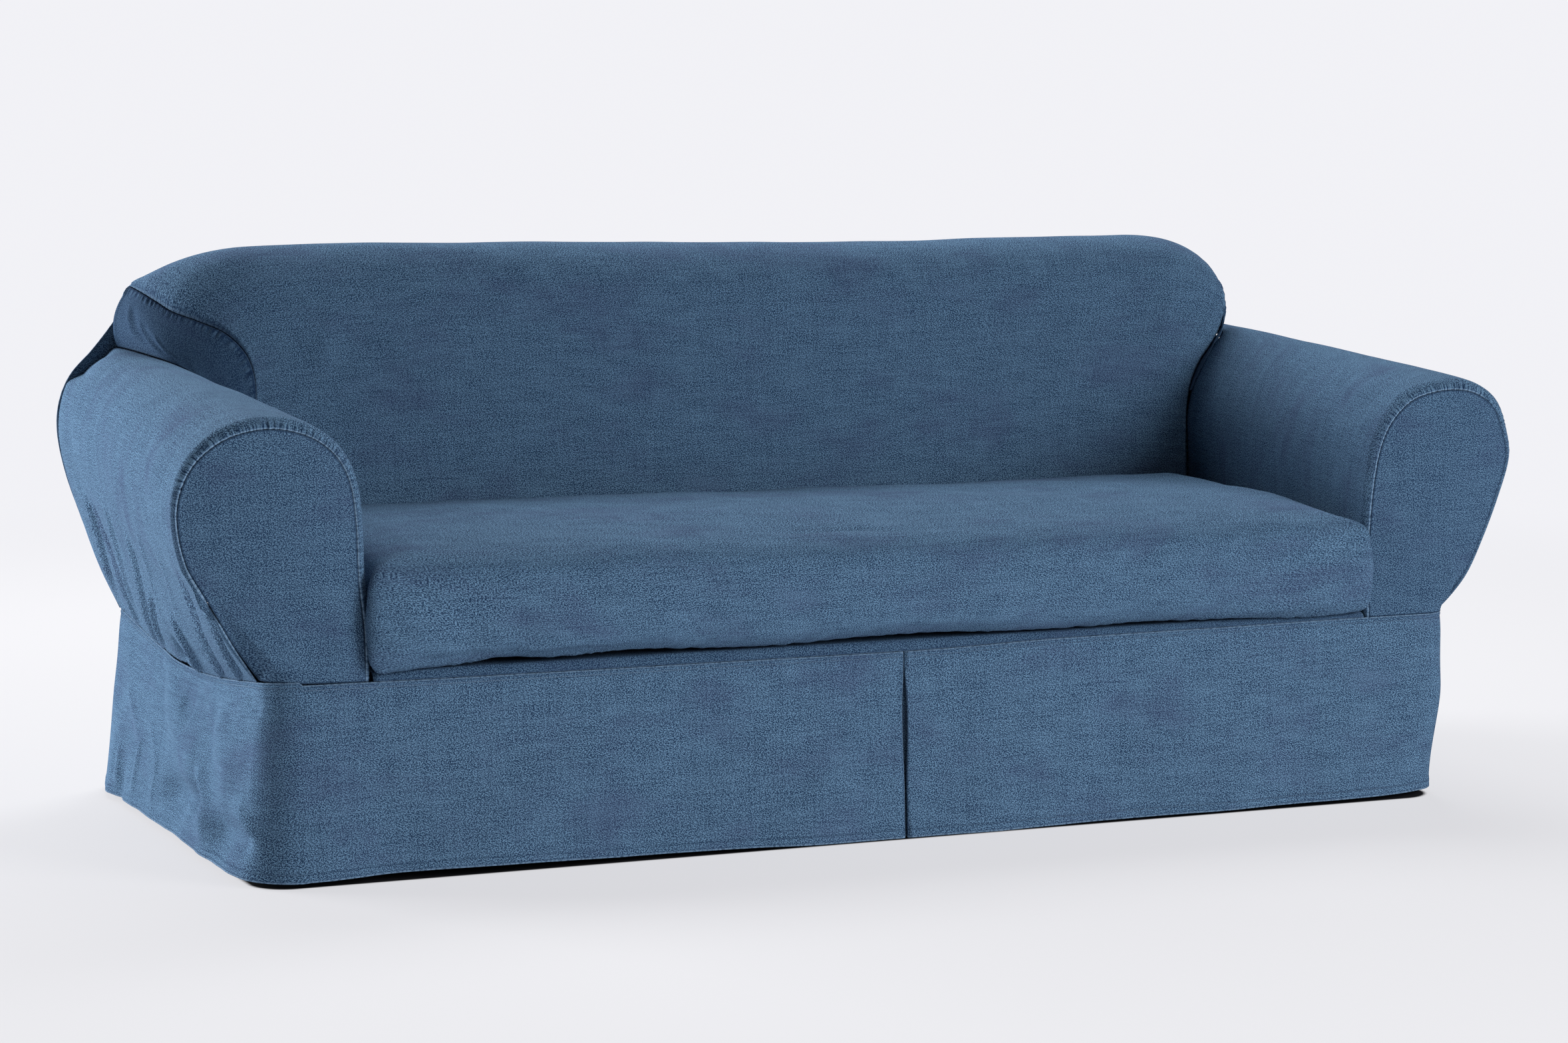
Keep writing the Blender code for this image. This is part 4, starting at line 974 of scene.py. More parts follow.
BACK_LEVELS = [
    BackLevel("foot", 0.604, 0.3135, 0.8470, 0.606, 0.3135, 0.8490, 0.606, 0.3135),
    BackLevel("seat line", 0.616, 0.480, 0.8505, 0.618, 0.480, 0.8515, 0.622, 0.480),
    BackLevel("lower", 0.642, 0.600, 0.852, 0.638, 0.598, 0.866, 0.650, 0.600),
    BackLevel("crease", 0.660, 0.680, 0.832, 0.652, 0.668, 0.895, 0.672, 0.664),
    BackLevel("face", 0.674, 0.745, 0.838, 0.668, 0.728, 0.944, 0.696, 0.712),
    BackLevel("upper face", 0.690, 0.806, 0.868, 0.690, 0.768, 0.974, 0.716, 0.752),
    BackLevel("front roll", 0.712, 0.856, 0.908, 0.724, 0.789, 0.982, 0.734, 0.786),
    BackLevel("top front", 0.748, 0.887, 0.938, 0.762, 0.802, 0.976, 0.766, 0.812),
    BackLevel("top", 0.797, 0.899, 0.955, 0.805, 0.817, 0.970, 0.808, 0.830),
    BackLevel("top rear", 0.850, 0.892, 0.968, 0.852, 0.830, 0.967, 0.856, 0.838),
    BackLevel("rear seam", 0.905, 0.866, 0.975, 0.902, 0.838, 0.970, 0.904, 0.840),
]

BACK_COLUMNS = 280
BACK_ROWS = 136
BACK_LONG = 0.80            # metres from the back's foot to its rear seam
BACK_WIDE = 1.86
BACK_ROUND = 1.15           # the way round a shoulder is longer than the way across by this
SHOULDER_START = 0.84
BACK_SLACK = 0.004
BACK_EVENNESS = 0.55        # crowds the columns towards both ends
BACK_LEAN = 0.0055          # the top stands a little higher at the left
LEAN_LEVELS = (0.5, 0.75)

# shares of the way from the foot to the rear seam, or metres from the foot
RIGHT_PINCH_IN = (0.42, 0.56)
RIGHT_PINCH_OUT = (0.80, 0.66)
SIDE_GATHERS_IN = (0.2, 0.3)
TOP_CALM = (1.0, 0.96)
LOW_CREASES_IN = (0.10, 0.18)
LOW_CREASES_OUT = (0.34, 0.20)
LOW_CREASES = (0.0011, 0.035, 2.1)     # height, size and turn
LOW_CREASE_STRETCH = 0.25
PLAIN_PINCH = 0.3
BACK_WELTS = (Ridge(0.2, 0.004, 0.004), Ridge(-0.14, 0.0, 0.0024))
BACK_WAVES = (Wave(1.0, 0.36, 0.3), Wave(0.2, 0.10, 1.3, stretch_s=0.6))
SHOULDER_GATHERS = Gather(2.0, 0.025, 0.7, 0.004, 0.040)
SIDE_GATHERS = Gather(0.45, 0.012, 0.2, 0.003, 0.022)


def back_seam(side, level):
    """The seam at one end of the back cover."""
    word = "left" if side < 0.0 else "right"
    return point(
        side * curve(column(BACK_LEVELS, f"{word}_across"), level),
        curve(column(BACK_LEVELS, f"{word}_depth"), level),
        curve(column(BACK_LEVELS, f"{word}_height"), level),
    )


def back_shape(span, level):
    """A point of the back cover: span from -1 at the left to 1 at the right."""
    left = (span < 0.0)[..., None]
    seam = np.where(left, back_seam(-1.0, level), back_seam(1.0, level))
    share = np.maximum(np.abs(span) - SHOULDER_START, 0.0) / (1.0 - SHOULDER_START)
    fall = 1.0 - np.sqrt(np.maximum(1.0 - share * share, 0.0))
    slack = BACK_SLACK * np.cos(span * math.pi * 1.5) * np.sin(level * math.pi)
    lean = BACK_LEAN * smoothstep(*LEAN_LEVELS, level) * np.sin(math.pi * span)
    return point(
        seam[..., 0] * np.abs(span),
        mix(curve(column(BACK_LEVELS, "middle_depth"), level), seam[..., 1], fall) - slack,
        mix(curve(column(BACK_LEVELS, "middle_height"), level), seam[..., 2], fall) - slack - lean,
    )


# s is the distance from the middle, t is the distance up from the foot
BACK_FOLDS = [
    Fold("foot crease left", -0.560, 0.185, -0.400, 0.178, -0.200, 0.190, 0.009, -0.0022),
    Fold("foot crease middle", -0.150, 0.186, 0.060, 0.178, 0.330, 0.188, 0.009, -0.0024, 1.0),
    Fold("foot ridge", -0.120, 0.205, 0.120, 0.200, 0.300, 0.206, 0.010, 0.0018),
    Fold("foot crease right", 0.420, 0.190, 0.600, 0.184, 0.780, 0.200, 0.010, -0.0020),
    Fold("left crease", -0.820, 0.260, -0.780, 0.330, -0.720, 0.420, 0.020, 0.0030),
    Fold("right crease", 0.840, 0.240, 0.820, 0.330, 0.835, 0.420, 0.016, 0.0030),
    Fold("wide swell", -0.500, 0.420, 0.000, 0.440, 0.500, 0.420, 0.120, 0.0030),
]


def back_cover():
    """The inside back, carried over the top."""
    u, v = grid(BACK_COLUMNS, BACK_ROWS)
    span = mix(2.0 * u - 1.0, np.sin((u - 0.5) * math.pi), BACK_EVENNESS)
    base = back_shape(span, v)
    s = span * BACK_WIDE * 0.5
    t = v * BACK_LONG
    half = np.abs(base[:, -1, 0] - base[:, 0, 0])[:, None] * 0.5
    edge = (1.0 - np.abs(span)) * half * BACK_ROUND
    right_pinch = smoothstep(*RIGHT_PINCH_IN, v) * smoothstep(*RIGHT_PINCH_OUT, v) * (span > 0)
    settle = smoothstep(*CALM, edge) * smoothstep(*TOP_CALM, v)
    relief = fold_relief(BACK_FOLDS, s, t) + welts(BACK_WELTS, edge)
    relief += right_pinch * gathers(SHOULDER_GATHERS, t, edge)
    relief += gathers(SIDE_GATHERS, t, edge) * smoothstep(*SIDE_GATHERS_IN, v)
    relief += uneven(BACK_WAVES, s, t) * settle
    height, size, turn = LOW_CREASES
    low = smoothstep(*LOW_CREASES_IN, t) * smoothstep(*LOW_CREASES_OUT, t)
    relief += height * soft_noise(s * LOW_CREASE_STRETCH, t, size, turn) * low * settle
    measures = {"edge": np.minimum(edge, (1.0 - v) * BACK_LONG), "run": t,
                "pinch": mix(PLAIN_PINCH, 1.0, right_pinch)}
    sew("back_sheet", raised(base, relief), measures)


END_COLUMNS = 140
END_ROWS = 50
END_FIRST_LEVEL = 4 / 17
END_LONG = 0.36             # metres along the seam
END_WIDTH = 0.17            # metres down from it
END_SEAM_GAP = 0.0010
END_REAR_GAP = 0.002
END_ROOM = (0.020, 0.080)   # how wide the panel is where it starts to puff, and where it does fully
END_RIDE = 0.0020
END_LEAN = 0.35
END_PUFF_POWER = 0.8
END_UPPER_CALM = (0.0, 0.05)
END_LOWER_CALM = (1.0, 0.9)
END_REAR_WEAR = 0.001
END_GATHERS = Gather(1.0, 0.0125, 0.9, 0.003, 0.016)


class EndPanel(NamedTuple):
    """One end of the back: the part of the arm's outline it rests on, and its puff."""
    arm_start: float
    arm_end: float
    pace: float
    puff: float


END_PANELS = {
    "left": EndPanel(0.235, 0.500, 1.0, 0.016),
    "right": EndPanel(0.248, 0.500, 0.5, 0.002),
}

# s runs along the seam from its front, t from the seam down to the arm
END_FOLDS = [
    Fold("rear roll", 0.325, 0.030, 0.318, 0.090, 0.300, 0.150, 0.010, 0.0026, -1.0),
    Fold("rear second", 0.295, 0.060, 0.290, 0.110, 0.262, 0.160, 0.009, 0.0020, -1.0),
    Fold("rear third", 0.262, 0.080, 0.255, 0.125, 0.226, 0.160, 0.008, 0.0016, -1.0),
]


def back_end(arm):
    """The gathered end of the back."""
    shape = END_PANELS[arm.name]
    u, v = grid(END_COLUMNS, END_ROWS)
    along = u if arm.side > 0.0 else 1.0 - u
    down = 1.0 - v
    upper = back_seam(arm.side, mix(END_FIRST_LEVEL, 1.0, along))
    upper = upper + np.array((arm.side * END_SEAM_GAP, 0.0, -END_SEAM_GAP))
    share = mix(shape.arm_start, shape.arm_end, along ** shape.pace)
    away = outward(arm, share)
    lower = arm_shape(arm, share, np.ones_like(share)) + away * SEAT_GAP
    lower[..., 1] = np.minimum(lower[..., 1], BACK_REAR_DEPTH - END_REAR_GAP)
    wide = np.linalg.norm(lower - upper, axis=-1)
    room = smoothstep(*END_ROOM, wide)
    bow = np.maximum(np.sin(math.pi * down), 0.0)
    puff = shape.puff * bow ** END_PUFF_POWER * room
    base = mix(upper, lower, down[..., None])
    base[..., 0] += arm.side * puff
    base[..., 1] -= END_LEAN * puff * (1.0 - along)
    base = base + away * (END_RIDE * (1.0 - room) * bow)[..., None]
    s = along * END_LONG
    t = down * wide
    relief = (gathers(END_GATHERS, s, t) + fold_relief(END_FOLDS, s, down * END_WIDTH)) * room
    relief *= smoothstep(*END_UPPER_CALM, down) * smoothstep(*END_LOWER_CALM, down)
    rear_seam = (1.0 - along) * END_LONG + END_REAR_WEAR
    measures = {"edge": np.minimum(t, rear_seam), "run": s, "pinch": room}
    sew(f"back_end_{arm.name}_sheet", raised(base, relief), measures)


class RearLevel(NamedTuple):
    """One level of the rear panel's outline, from the top seam to the skirt."""
    where: str
    height: float
    left_across: float
    right_across: float


REAR_LEVELS = [
    RearLevel("top", 0.865, 0.900, 0.900),
    RearLevel("corner", 0.838, 0.976, 0.971),
    RearLevel("slope", 0.790, 0.996, 0.992),
    RearLevel("arm top", 0.738, 1.036, 1.032),
    RearLevel("arm shoulder", 0.695, 1.076, 1.074),
    RearLevel("arm roll", 0.650, 1.096, 1.096),
    RearLevel("widest", 0.598, 1.100, 1.100),
    RearLevel("under the roll", 0.530, 1.087, 1.085),
    RearLevel("high", 0.455, 1.062, 1.062),
    RearLevel("low", 0.375, 1.034, 1.036),
    RearLevel("foot", 0.3035, 1.001, 1.011),
]

REAR_COLUMNS = 110
REAR_ROWS = 64
REAR_TALL = 0.56
REAR_TOP_TURN = 0.12
REAR_FOOT_TURN = 0.25
REAR_SIDE_TURN = (1.0, 0.95)
REAR_TOP_DROP = 0.001
REAR_TOP_GAP = 0.0026
REAR_BULGE_POWER = 0.7
REAR_WAVES = (Wave(1.0, 0.42, 0.8), Wave(0.4, 0.12, 1.8))
REAR_GATHERS = Gather(4 / 9, 0.018, 0.5, 0.004, 0.020)

# s is the distance from the middle, t is the height above the skirt
REAR_FOLDS = [
    Fold("left slack", -0.900, 0.060, -0.740, 0.200, -0.640, 0.420, 0.050, 0.0050),
    Fold("middle slack", -0.050, 0.040, 0.040, 0.240, 0.020, 0.480, 0.070, -0.0040),
    Fold("right slack", 0.880, 0.080, 0.760, 0.220, 0.600, 0.400, 0.050, 0.0050),
]


def outside_back():
    """The rear panel, as wide as the arms, closed at the top by the back's rear seam."""
    u, v = grid(REAR_COLUMNS, REAR_ROWS)
    span = 2.0 * u - 1.0
    share = 1.0 - v
    left = curve(column(REAR_LEVELS, "left_across"), share)
    right = curve(column(REAR_LEVELS, "right_across"), share)
    across = np.where(span > 0.0, left, right)
    height = curve(column(REAR_LEVELS, "height"), share)
    top = smoothstep(REAR_TOP_TURN, 0.0, share)
    top_edge = back_shape(-span, np.ones_like(span))
    bow = np.maximum(np.sin(math.pi * v), 0.0) ** REAR_BULGE_POWER
    foot = smoothstep(REAR_FOOT_TURN, 0.0, v) * smoothstep(*REAR_SIDE_TURN, np.abs(span))
    depth = mix(REAR_PANEL_DEPTH, SKIRT_DEPTH, foot) + REAR_PANEL_BULGE * (1.0 - span * span) * bow
    base = point(
        mix(-span * across, top_edge[..., 0], top),
        mix(depth, top_edge[..., 1] + REAR_TOP_GAP, top),
        mix(height, top_edge[..., 2] - REAR_TOP_DROP, top),
    )
    x, z = base[..., 0], base[..., 2]
    edge = np.minimum((1.0 - np.abs(span)) * across, np.minimum(share, v) * REAR_TALL)
    relief = fold_relief(REAR_FOLDS, x, v * REAR_TALL) + uneven(REAR_WAVES, x, z)
    relief = relief * smoothstep(*CALM, edge) + gathers(REAR_GATHERS, x + z, edge)
    sew("outside_back_sheet", raised(base, relief), {"edge": edge, "run": x})


class SewBack(bpy.types.Operator):
    """Sew the inside back, its gathered ends and the outside back."""
    bl_idname = "cover.back"
    bl_label = "Sew Back"
    bl_options = {"REGISTER", "UNDO"}

    def execute(self, context):
        back_cover()
        outside_back()
        for arm in ARMS:
            back_end(arm)
        return {"FINISHED"}


# ---- seat ----
class SkirtLevel(NamedTuple):
    """The height of the skirt's top seam and hem along the front."""
    where: str
    across: float
    seam: float
    hem: float


FRONT_LEVELS = [
    SkirtLevel("left corner", -1.000, 0.304, 0.010),
    SkirtLevel("left arm", -0.950, 0.299, 0.011),
    SkirtLevel("left swell", -0.680, 0.297, 0.013),
    SkirtLevel("left run", -0.396, 0.296, 0.008),
    SkirtLevel("pleat", 0.017, 0.295, 0.0028),
    SkirtLevel("right rise", 0.330, 0.301, 0.004),
    SkirtLevel("right run", 0.534, 0.302, 0.006),
    SkirtLevel("right arm", 0.850, 0.304, 0.008),
    SkirtLevel("right corner", 1.010, 0.304, 0.011),
]

DECK_COLUMNS = 180
DECK_ROWS = 30
DECK_TURN = 0.4             # the share of the rows in the turned-down lip
DECK_GATHERS = Gather(4 / 9, 0.034, 0.6, 0.35, 0.5)     # middle and reach as shares of the lip
DECK_LIP_WIDTH = 0.016


def deck():
    """The panel under the cushion, its front edge turned down to the skirt seam."""
    u, v = grid(DECK_COLUMNS, DECK_ROWS)
    across = (2.0 * u - 1.0) * DECK_HALF_WIDTH
    lip = v < DECK_TURN
    share = np.clip(v / DECK_TURN, 0.0, 1.0)
    seam = between(FRONT_LEVELS, "across", across, "seam") + SEAM_GAP
    height = np.where(lip, mix(seam, DECK_HEIGHT, smoothstep(0.0, 1.0, share)), DECK_HEIGHT)
    back = mix(DECK_FRONT_DEPTH, DECK_REAR_DEPTH, np.clip((v - DECK_TURN) / (1.0 - DECK_TURN), 0.0, 1.0))
    depth = np.where(lip, mix(DECK_LIP_DEPTH, DECK_FRONT_DEPTH, share * share), back)
    relief = gathers(DECK_GATHERS, across, share) * lip
    measures = {"edge": share * DECK_LIP_WIDTH + SEAM_GAP, "run": across}
    sew("deck_sheet", raised(point(across, depth, height), relief), measures)


class CushionRing(NamedTuple):
    """One ring of the cushion cover, from its top panel round to its drawn-in edge."""
    where: str
    inset: float
    height: float


CUSHION_RINGS = [
    CushionRing("top panel", 0.075, 0.030),
    CushionRing("shoulder", 0.032, 0.020),
    CushionRing("top edge", 0.009, 0.002),
    CushionRing("upper side", 0.000, -0.040),
    CushionRing("lower side", 0.002, -0.090),
    CushionRing("bottom edge", 0.010, -0.1180),
    CushionRing("turned under", 0.034, -0.1345),
    CushionRing("drawn-in edge", 0.085, -0.1353),
]

CUSHION_TOP_COLUMNS = 120
CUSHION_TOP_ROWS = 44
CUSHION_WRAPS = 42          # grid rings that wrap down and under
LAST_RING = 7.0             # the table's rings, counted from 0
RING_STEP = 0.02            # metres of cloth from ring to ring
TOP_EDGE_RING = 1.0         # the top panel ends here
CUSHION_EDGE_WEAR = 0.001

# pairs of ring numbers, or of metres from the seat's front, middle or top edge
END_TURN_RINGS = (3.0, 4.5)
REAR_RISE_DEPTHS = (-0.060, 0.260)
REAR_RISE_HEIGHTS = (-0.060, 0.010)
LEAN_ACROSS = (0.4, -0.9)
LEAN_HEIGHTS = (-0.060, 0.0)
SPREAD_DEPTHS = (0.022, -0.018)
SPREAD_RINGS = (6.5, 5.0)
LOW_DEPTH = 0.28
LOW_HEIGHTS = (-0.02, -0.10)
LOW_RINGS = (6.5, 4.5)
UNDER_RINGS = (4.0, 5.4)
GAP_DEPTHS = (0.120, 0.020)
DROOP_DEPTHS = (0.012, -0.012)
TOP_RINGS = (2.2, 1.2)
BAND_IN_RINGS = (1.6, 2.4)
BAND_OUT_RINGS = (6.0, 5.0)
BAND_DEPTH = 0.03
TUCK_RINGS = (6.9, 6.2)
TOP_WAVES = (Wave(1.3, 0.33, 0.5),)
BAND_WAVES = (Wave(1.0, 0.16, 1.1),)
SMALL_WAVES = (Wave(0.245, 0.05, 2.1, stretch_s=0.5),)
BAND_WAVE_STRETCH = 1.5
TUCK_GATHERS = Gather(11 / 9, 0.030, 0.5, 5.6, 1.2)     # middle and reach in rings


class Pucker(NamedTuple):
    """Slack drawn in along the cushion's lower front edge."""
    where: str
    across: float
    width: float
    lift: float


CUSHION_PUCKERS = [
    Pucker("left corner", -0.800, 0.055, 0.007),
    Pucker("left tuck", -0.700, 0.050, -0.006),
    Pucker("left swell", -0.560, 0.090, 0.005),
    Pucker("middle tuck", -0.330, 0.080, -0.005),
    Pucker("middle swell", 0.120, 0.160, 0.004),
    Pucker("right tuck", 0.420, 0.080, -0.004),
    Pucker("right corner", 0.760, 0.070, 0.005),
]

CUSHION_GAPS = [
    Pucker("left gap", -0.640, 0.100, 0.0085),
    Pucker("middle gap", -0.430, 0.240, 0.0090),
    Pucker("pleat gap", 0.020, 0.320, 0.0085),
    Pucker("right gap", 0.440, 0.230, 0.0045),
]

CUSHION_DROOPS = [
    Pucker("left end", -0.830, 0.090, 0.0080),
    Pucker("right end", 0.740, 0.170, 0.0070),
]

# on the top panel, s is across and t is depth
TOP_FOLDS = [
    Fold("sat dent", -0.215, 0.048, -0.110, 0.040, 0.020, 0.044, 0.013, -0.0035, 1.0),
    Fold("sat dent tail", -0.060, 0.036, 0.060, 0.034, 0.200, 0.040, 0.010, -0.0018),
    Fold("rear crease left", -0.700, 0.520, -0.500, 0.505, -0.300, 0.520, 0.012, -0.0016),
    Fold("rear crease middle", -0.200, 0.430, 0.040, 0.420, 0.240, 0.432, 0.012, -0.0015),
    Fold("right crease", 0.300, 0.300, 0.460, 0.290, 0.620, 0.300, 0.014, -0.0014),
]

# on the front band, s is across and t is height
FRONT_BAND_FOLDS = [
    Fold("left corner tuck", -0.832, 0.395, -0.815, 0.380, -0.780, 0.372, 0.012, -0.0045, 1.0),
    Fold("left corner drop", -0.826, 0.440, -0.800, 0.420, -0.760, 0.412, 0.012, 0.0030),
    Fold("left low draw", -0.800, 0.330, -0.720, 0.345, -0.620, 0.336, 0.012, 0.0035, 1.0),
    Fold("left low second", -0.640, 0.328, -0.540, 0.342, -0.430, 0.332, 0.011, 0.0030, 1.0),
    Fold("middle low draw", -0.380, 0.330, -0.280, 0.338, -0.180, 0.330, 0.010, 0.0020),
    Fold("right low draw", 0.560, 0.322, 0.680, 0.330, 0.800, 0.345, 0.012, 0.0030, 1.0),
]


def ring_point(a, b, inset, end_inset):
    """A point on a rounded rectangle, inset from the cushion's outline."""
    half_width = CUSHION_HALF_WIDTH - end_inset
    half_depth = (CUSHION_REAR_DEPTH - CUSHION_FRONT_DEPTH) * 0.5 - inset
    corner = np.maximum(CUSHION_CORNER - inset * 0.5, CUSHION_LEAST_CORNER)
    across = a * half_width
    depth = b * half_depth
    over_across = np.abs(across) - (half_width - corner)
    over_depth = np.abs(depth) - (half_depth - corner)
    inside = (over_across > 0.0) & (over_depth > 0.0)
    larger = np.maximum(over_across, over_depth)
    pull = larger / np.maximum(np.hypot(over_across, over_depth), 1e-9)
    turned_across = np.copysign(half_width - corner + over_across * pull, across)
    turned_depth = np.copysign(half_depth - corner + over_depth * pull, depth)
    return np.where(inside, turned_across, across), np.where(inside, turned_depth, depth)


def drawn(items, across):
    """How far a table of puckers moves the cloth along the front."""
    return sum(item.lift * hill(across - item.across, item.width) for item in items)


def cushion_cover():
    """The bench cushion's cover: a grid whose outer rings wrap down and under."""
    wraps = CUSHION_WRAPS
    columns = CUSHION_TOP_COLUMNS + 2 * wraps
    rows = CUSHION_TOP_ROWS + 2 * wraps
    i, j = np.meshgrid(np.arange(columns + 1), np.arange(rows + 1))
    left = np.minimum(np.minimum(np.minimum(i, columns - i), np.minimum(j, rows - j)), wraps)
    ring = (wraps - left) / wraps
    number = ring * LAST_RING
    a = 2.0 * (i - left) / (columns - 2 * left) - 1.0
    b = 2.0 * (j - left) / (rows - 2 * left) - 1.0
    inset = curve(column(CUSHION_RINGS, "inset"), ring)
    end_inset = inset * mix(1.0, CUSHION_END_SHARE, smoothstep(*END_TURN_RINGS, number))
    across, depth = ring_point(a, b, inset, end_inset)
    depth = depth + (CUSHION_REAR_DEPTH + CUSHION_FRONT_DEPTH) * 0.5
    dome = (1.0 - np.abs(a) ** CUSHION_DOME_POWER) * (1.0 - np.abs(b) ** CUSHION_DOME_POWER)
    top_rise = mix(CUSHION_RINGS[0].height, CUSHION_CROWN, dome)
    rise = np.where(left == wraps, top_rise, curve(column(CUSHION_RINGS, "height"), ring))
    rear = CUSHION_REAR_RISE * smoothstep(*REAR_RISE_DEPTHS, depth) * smoothstep(*REAR_RISE_HEIGHTS, rise)
    lean = CUSHION_LEAN * smoothstep(*LEAN_ACROSS, across) * smoothstep(*LEAN_HEIGHTS, rise)
    height = np.maximum(CUSHION_EDGE_TOP + rise + rear + lean, CUSHION_BOTTOM)
    spread = CUSHION_FRONT_SPREAD + CUSHION_LEFT_SPREAD * (across < 0.0)
    spread = spread * smoothstep(*SPREAD_DEPTHS, depth) * smoothstep(*SPREAD_RINGS, number)
    across = across * (1.0 + spread)
    low = smoothstep(*LOW_HEIGHTS, rise) * smoothstep(*LOW_RINGS, number) * (number > TOP_EDGE_RING)
    depth = depth - drawn(CUSHION_PUCKERS, across) * low * (depth < LOW_DEPTH)
    under = smoothstep(*UNDER_RINGS, number)
    height = height + drawn(CUSHION_GAPS, across) * under * smoothstep(*GAP_DEPTHS, depth)
    height = height - drawn(CUSHION_DROOPS, across) * under * smoothstep(*DROOP_DEPTHS, depth)
    top = smoothstep(*TOP_RINGS, number)
    band = smoothstep(*BAND_IN_RINGS, number) * smoothstep(*BAND_OUT_RINGS, number)
    relief = fold_relief(TOP_FOLDS, across, depth) * top
    relief += fold_relief(FRONT_BAND_FOLDS, across, height) * band * (depth < BAND_DEPTH)
    relief += uneven(TOP_WAVES, across, depth) * top
    relief += uneven(BAND_WAVES, across, height * BAND_WAVE_STRETCH + depth) * band
    relief += uneven(SMALL_WAVES, across, depth + height) * (top + band)
    relief += gathers(TUCK_GATHERS, across + depth, number) * smoothstep(*TUCK_RINGS, number)
    measures = {"edge": (LAST_RING - number) * RING_STEP + CUSHION_EDGE_WEAR, "run": across}
    sew("seat_cushion_sheet", raised(point(across, depth, height), relief), measures)


class SewSeat(bpy.types.Operator):
    """Sew the deck and the bench cushion's cover."""
    bl_idname = "cover.seat"
    bl_label = "Sew Seat"
    bl_options = {"REGISTER", "UNDO"}

    def execute(self, context):
        deck()
        cushion_cover()
        return {"FINISHED"}


# ---- skirt ----
class SkirtFold(NamedTuple):
    """A soft upright ridge (+) or hollow (-) of the skirt."""
    where: str
    side: str
    along: float            # across at the front and rear, depth at the sides
    width: float
    lift: float             # at the hem
    rise: float             # how far up it reaches, as a share of the drop


SKIRT_FOLDS = [
    SkirtFold("left arm hollow", "front", -0.800, 0.100, -0.004, 0.80),
    SkirtFold("left run swell", "front", -0.620, 0.160, 0.006, 0.70),
    SkirtFold("left run hollow", "front", -0.400, 0.120, -0.004, 0.70),
    SkirtFold("left pleat swell", "front", -0.130, 0.120, 0.006, 0.80),
    SkirtFold("right pleat swell", "front", 0.170, 0.100, 0.007, 0.70),
    SkirtFold("right run hollow", "front", 0.360, 0.120, -0.004, 0.60),
    SkirtFold("right run swell", "front", 0.560, 0.150, 0.006, 0.70),
    SkirtFold("right end swell", "front", 0.800, 0.120, 0.005, 0.60),
    SkirtFold("right corner draw", "front", 1.010, 0.110, -0.026, 0.60),
    SkirtFold("left front ridge", "left", 0.245, 0.070, 0.004, 0.60),
    SkirtFold("left hollow", "left", 0.420, 0.110, -0.004, 0.60),
    SkirtFold("left rear hollow", "left", 0.650, 0.080, -0.003, 0.70),
    SkirtFold("left rear ridge", "left", 0.825, 0.055, 0.008, 0.55),
    SkirtFold("left rear notch", "left", 0.765, 0.025, -0.004, 0.30),
    SkirtFold("right front draw", "right", 0.020, 0.200, -0.028, 0.60),
    SkirtFold("right middle ridge", "right", 0.400, 0.090, 0.010, 0.80),
    SkirtFold("right rear ridge", "right", 0.720, 0.070, 0.012, 0.90),
    SkirtFold("rear left ridge", "rear", -0.600, 0.150, 0.006, 0.80),
    SkirtFold("rear middle ridge", "rear", 0.050, 0.180, 0.005, 0.80),
    SkirtFold("rear right ridge", "rear", 0.620, 0.150, 0.006, 0.80),
]

# s is the place along the side (depth) or front (across), t is the height
LEFT_SKIRT_FOLDS = [
    Fold("front dimple", -0.010, 0.062, 0.115, 0.060, 0.240, 0.040, 0.024, -0.0168),
    Fold("rear dimple", 0.230, 0.088, 0.390, 0.076, 0.560, 0.058, 0.024, -0.0168),
    Fold("front ridge", 0.085, 0.125, 0.045, 0.085, 0.014, 0.030, 0.012, 0.0084),
    Fold("middle ridge", 0.330, 0.140, 0.270, 0.095, 0.230, 0.020, 0.024, 0.0112),
    Fold("streak top", 0.815, 0.200, 0.745, 0.154, 0.683, 0.110, 0.009, 0.0036),
    Fold("streak foot", 0.680, 0.140, 0.690, 0.075, 0.702, 0.020, 0.009, 0.0039),
    Fold("second streak top", 0.664, 0.170, 0.596, 0.122, 0.566, 0.085, 0.009, 0.0036),
    Fold("second streak foot", 0.566, 0.110, 0.570, 0.075, 0.580, 0.030, 0.009, 0.0036),
    Fold("rear streak", 0.800, 0.110, 0.790, 0.060, 0.786, 0.020, 0.012, 0.0048),
    Fold("corner crease", 0.110, 0.262, 0.070, 0.264, 0.030, 0.258, 0.010, -0.0049),
    Fold("small hollow", 0.450, 0.215, 0.414, 0.208, 0.380, 0.198, 0.020, -0.0056),
    Fold("wide swell", 0.620, 0.270, 0.430, 0.175, 0.300, 0.110, 0.050, 0.0126),
    Fold("front swell", 0.260, 0.240, 0.180, 0.180, 0.110, 0.120, 0.050, 0.0098),
]

FRONT_SKIRT_FOLDS = [
    Fold("left corner crease", -0.985, 0.270, -0.955, 0.255, -0.920, 0.235, 0.012, 0.0030, 1.0),
    Fold("left slack", -0.700, 0.060, -0.600, 0.110, -0.560, 0.190, 0.045, 0.0030),
    Fold("left middle slack", -0.400, 0.050, -0.330, 0.120, -0.300, 0.230, 0.045, -0.0030),
    Fold("left of pleat", -0.140, 0.060, -0.110, 0.120, -0.060, 0.200, 0.032, 0.0025),
    Fold("pleat draw right", 0.020, 0.262, 0.060, 0.270, 0.110, 0.262, 0.010, 0.0022),
    Fold("pleat draw left", 0.012, 0.262, -0.030, 0.272, -0.080, 0.268, 0.010, 0.0020),
    Fold("right slack", 0.330, 0.060, 0.380, 0.120, 0.400, 0.200, 0.045, -0.0030),
    Fold("right hem swell", 0.560, 0.035, 0.650, 0.070, 0.700, 0.150, 0.050, 0.0030),
]


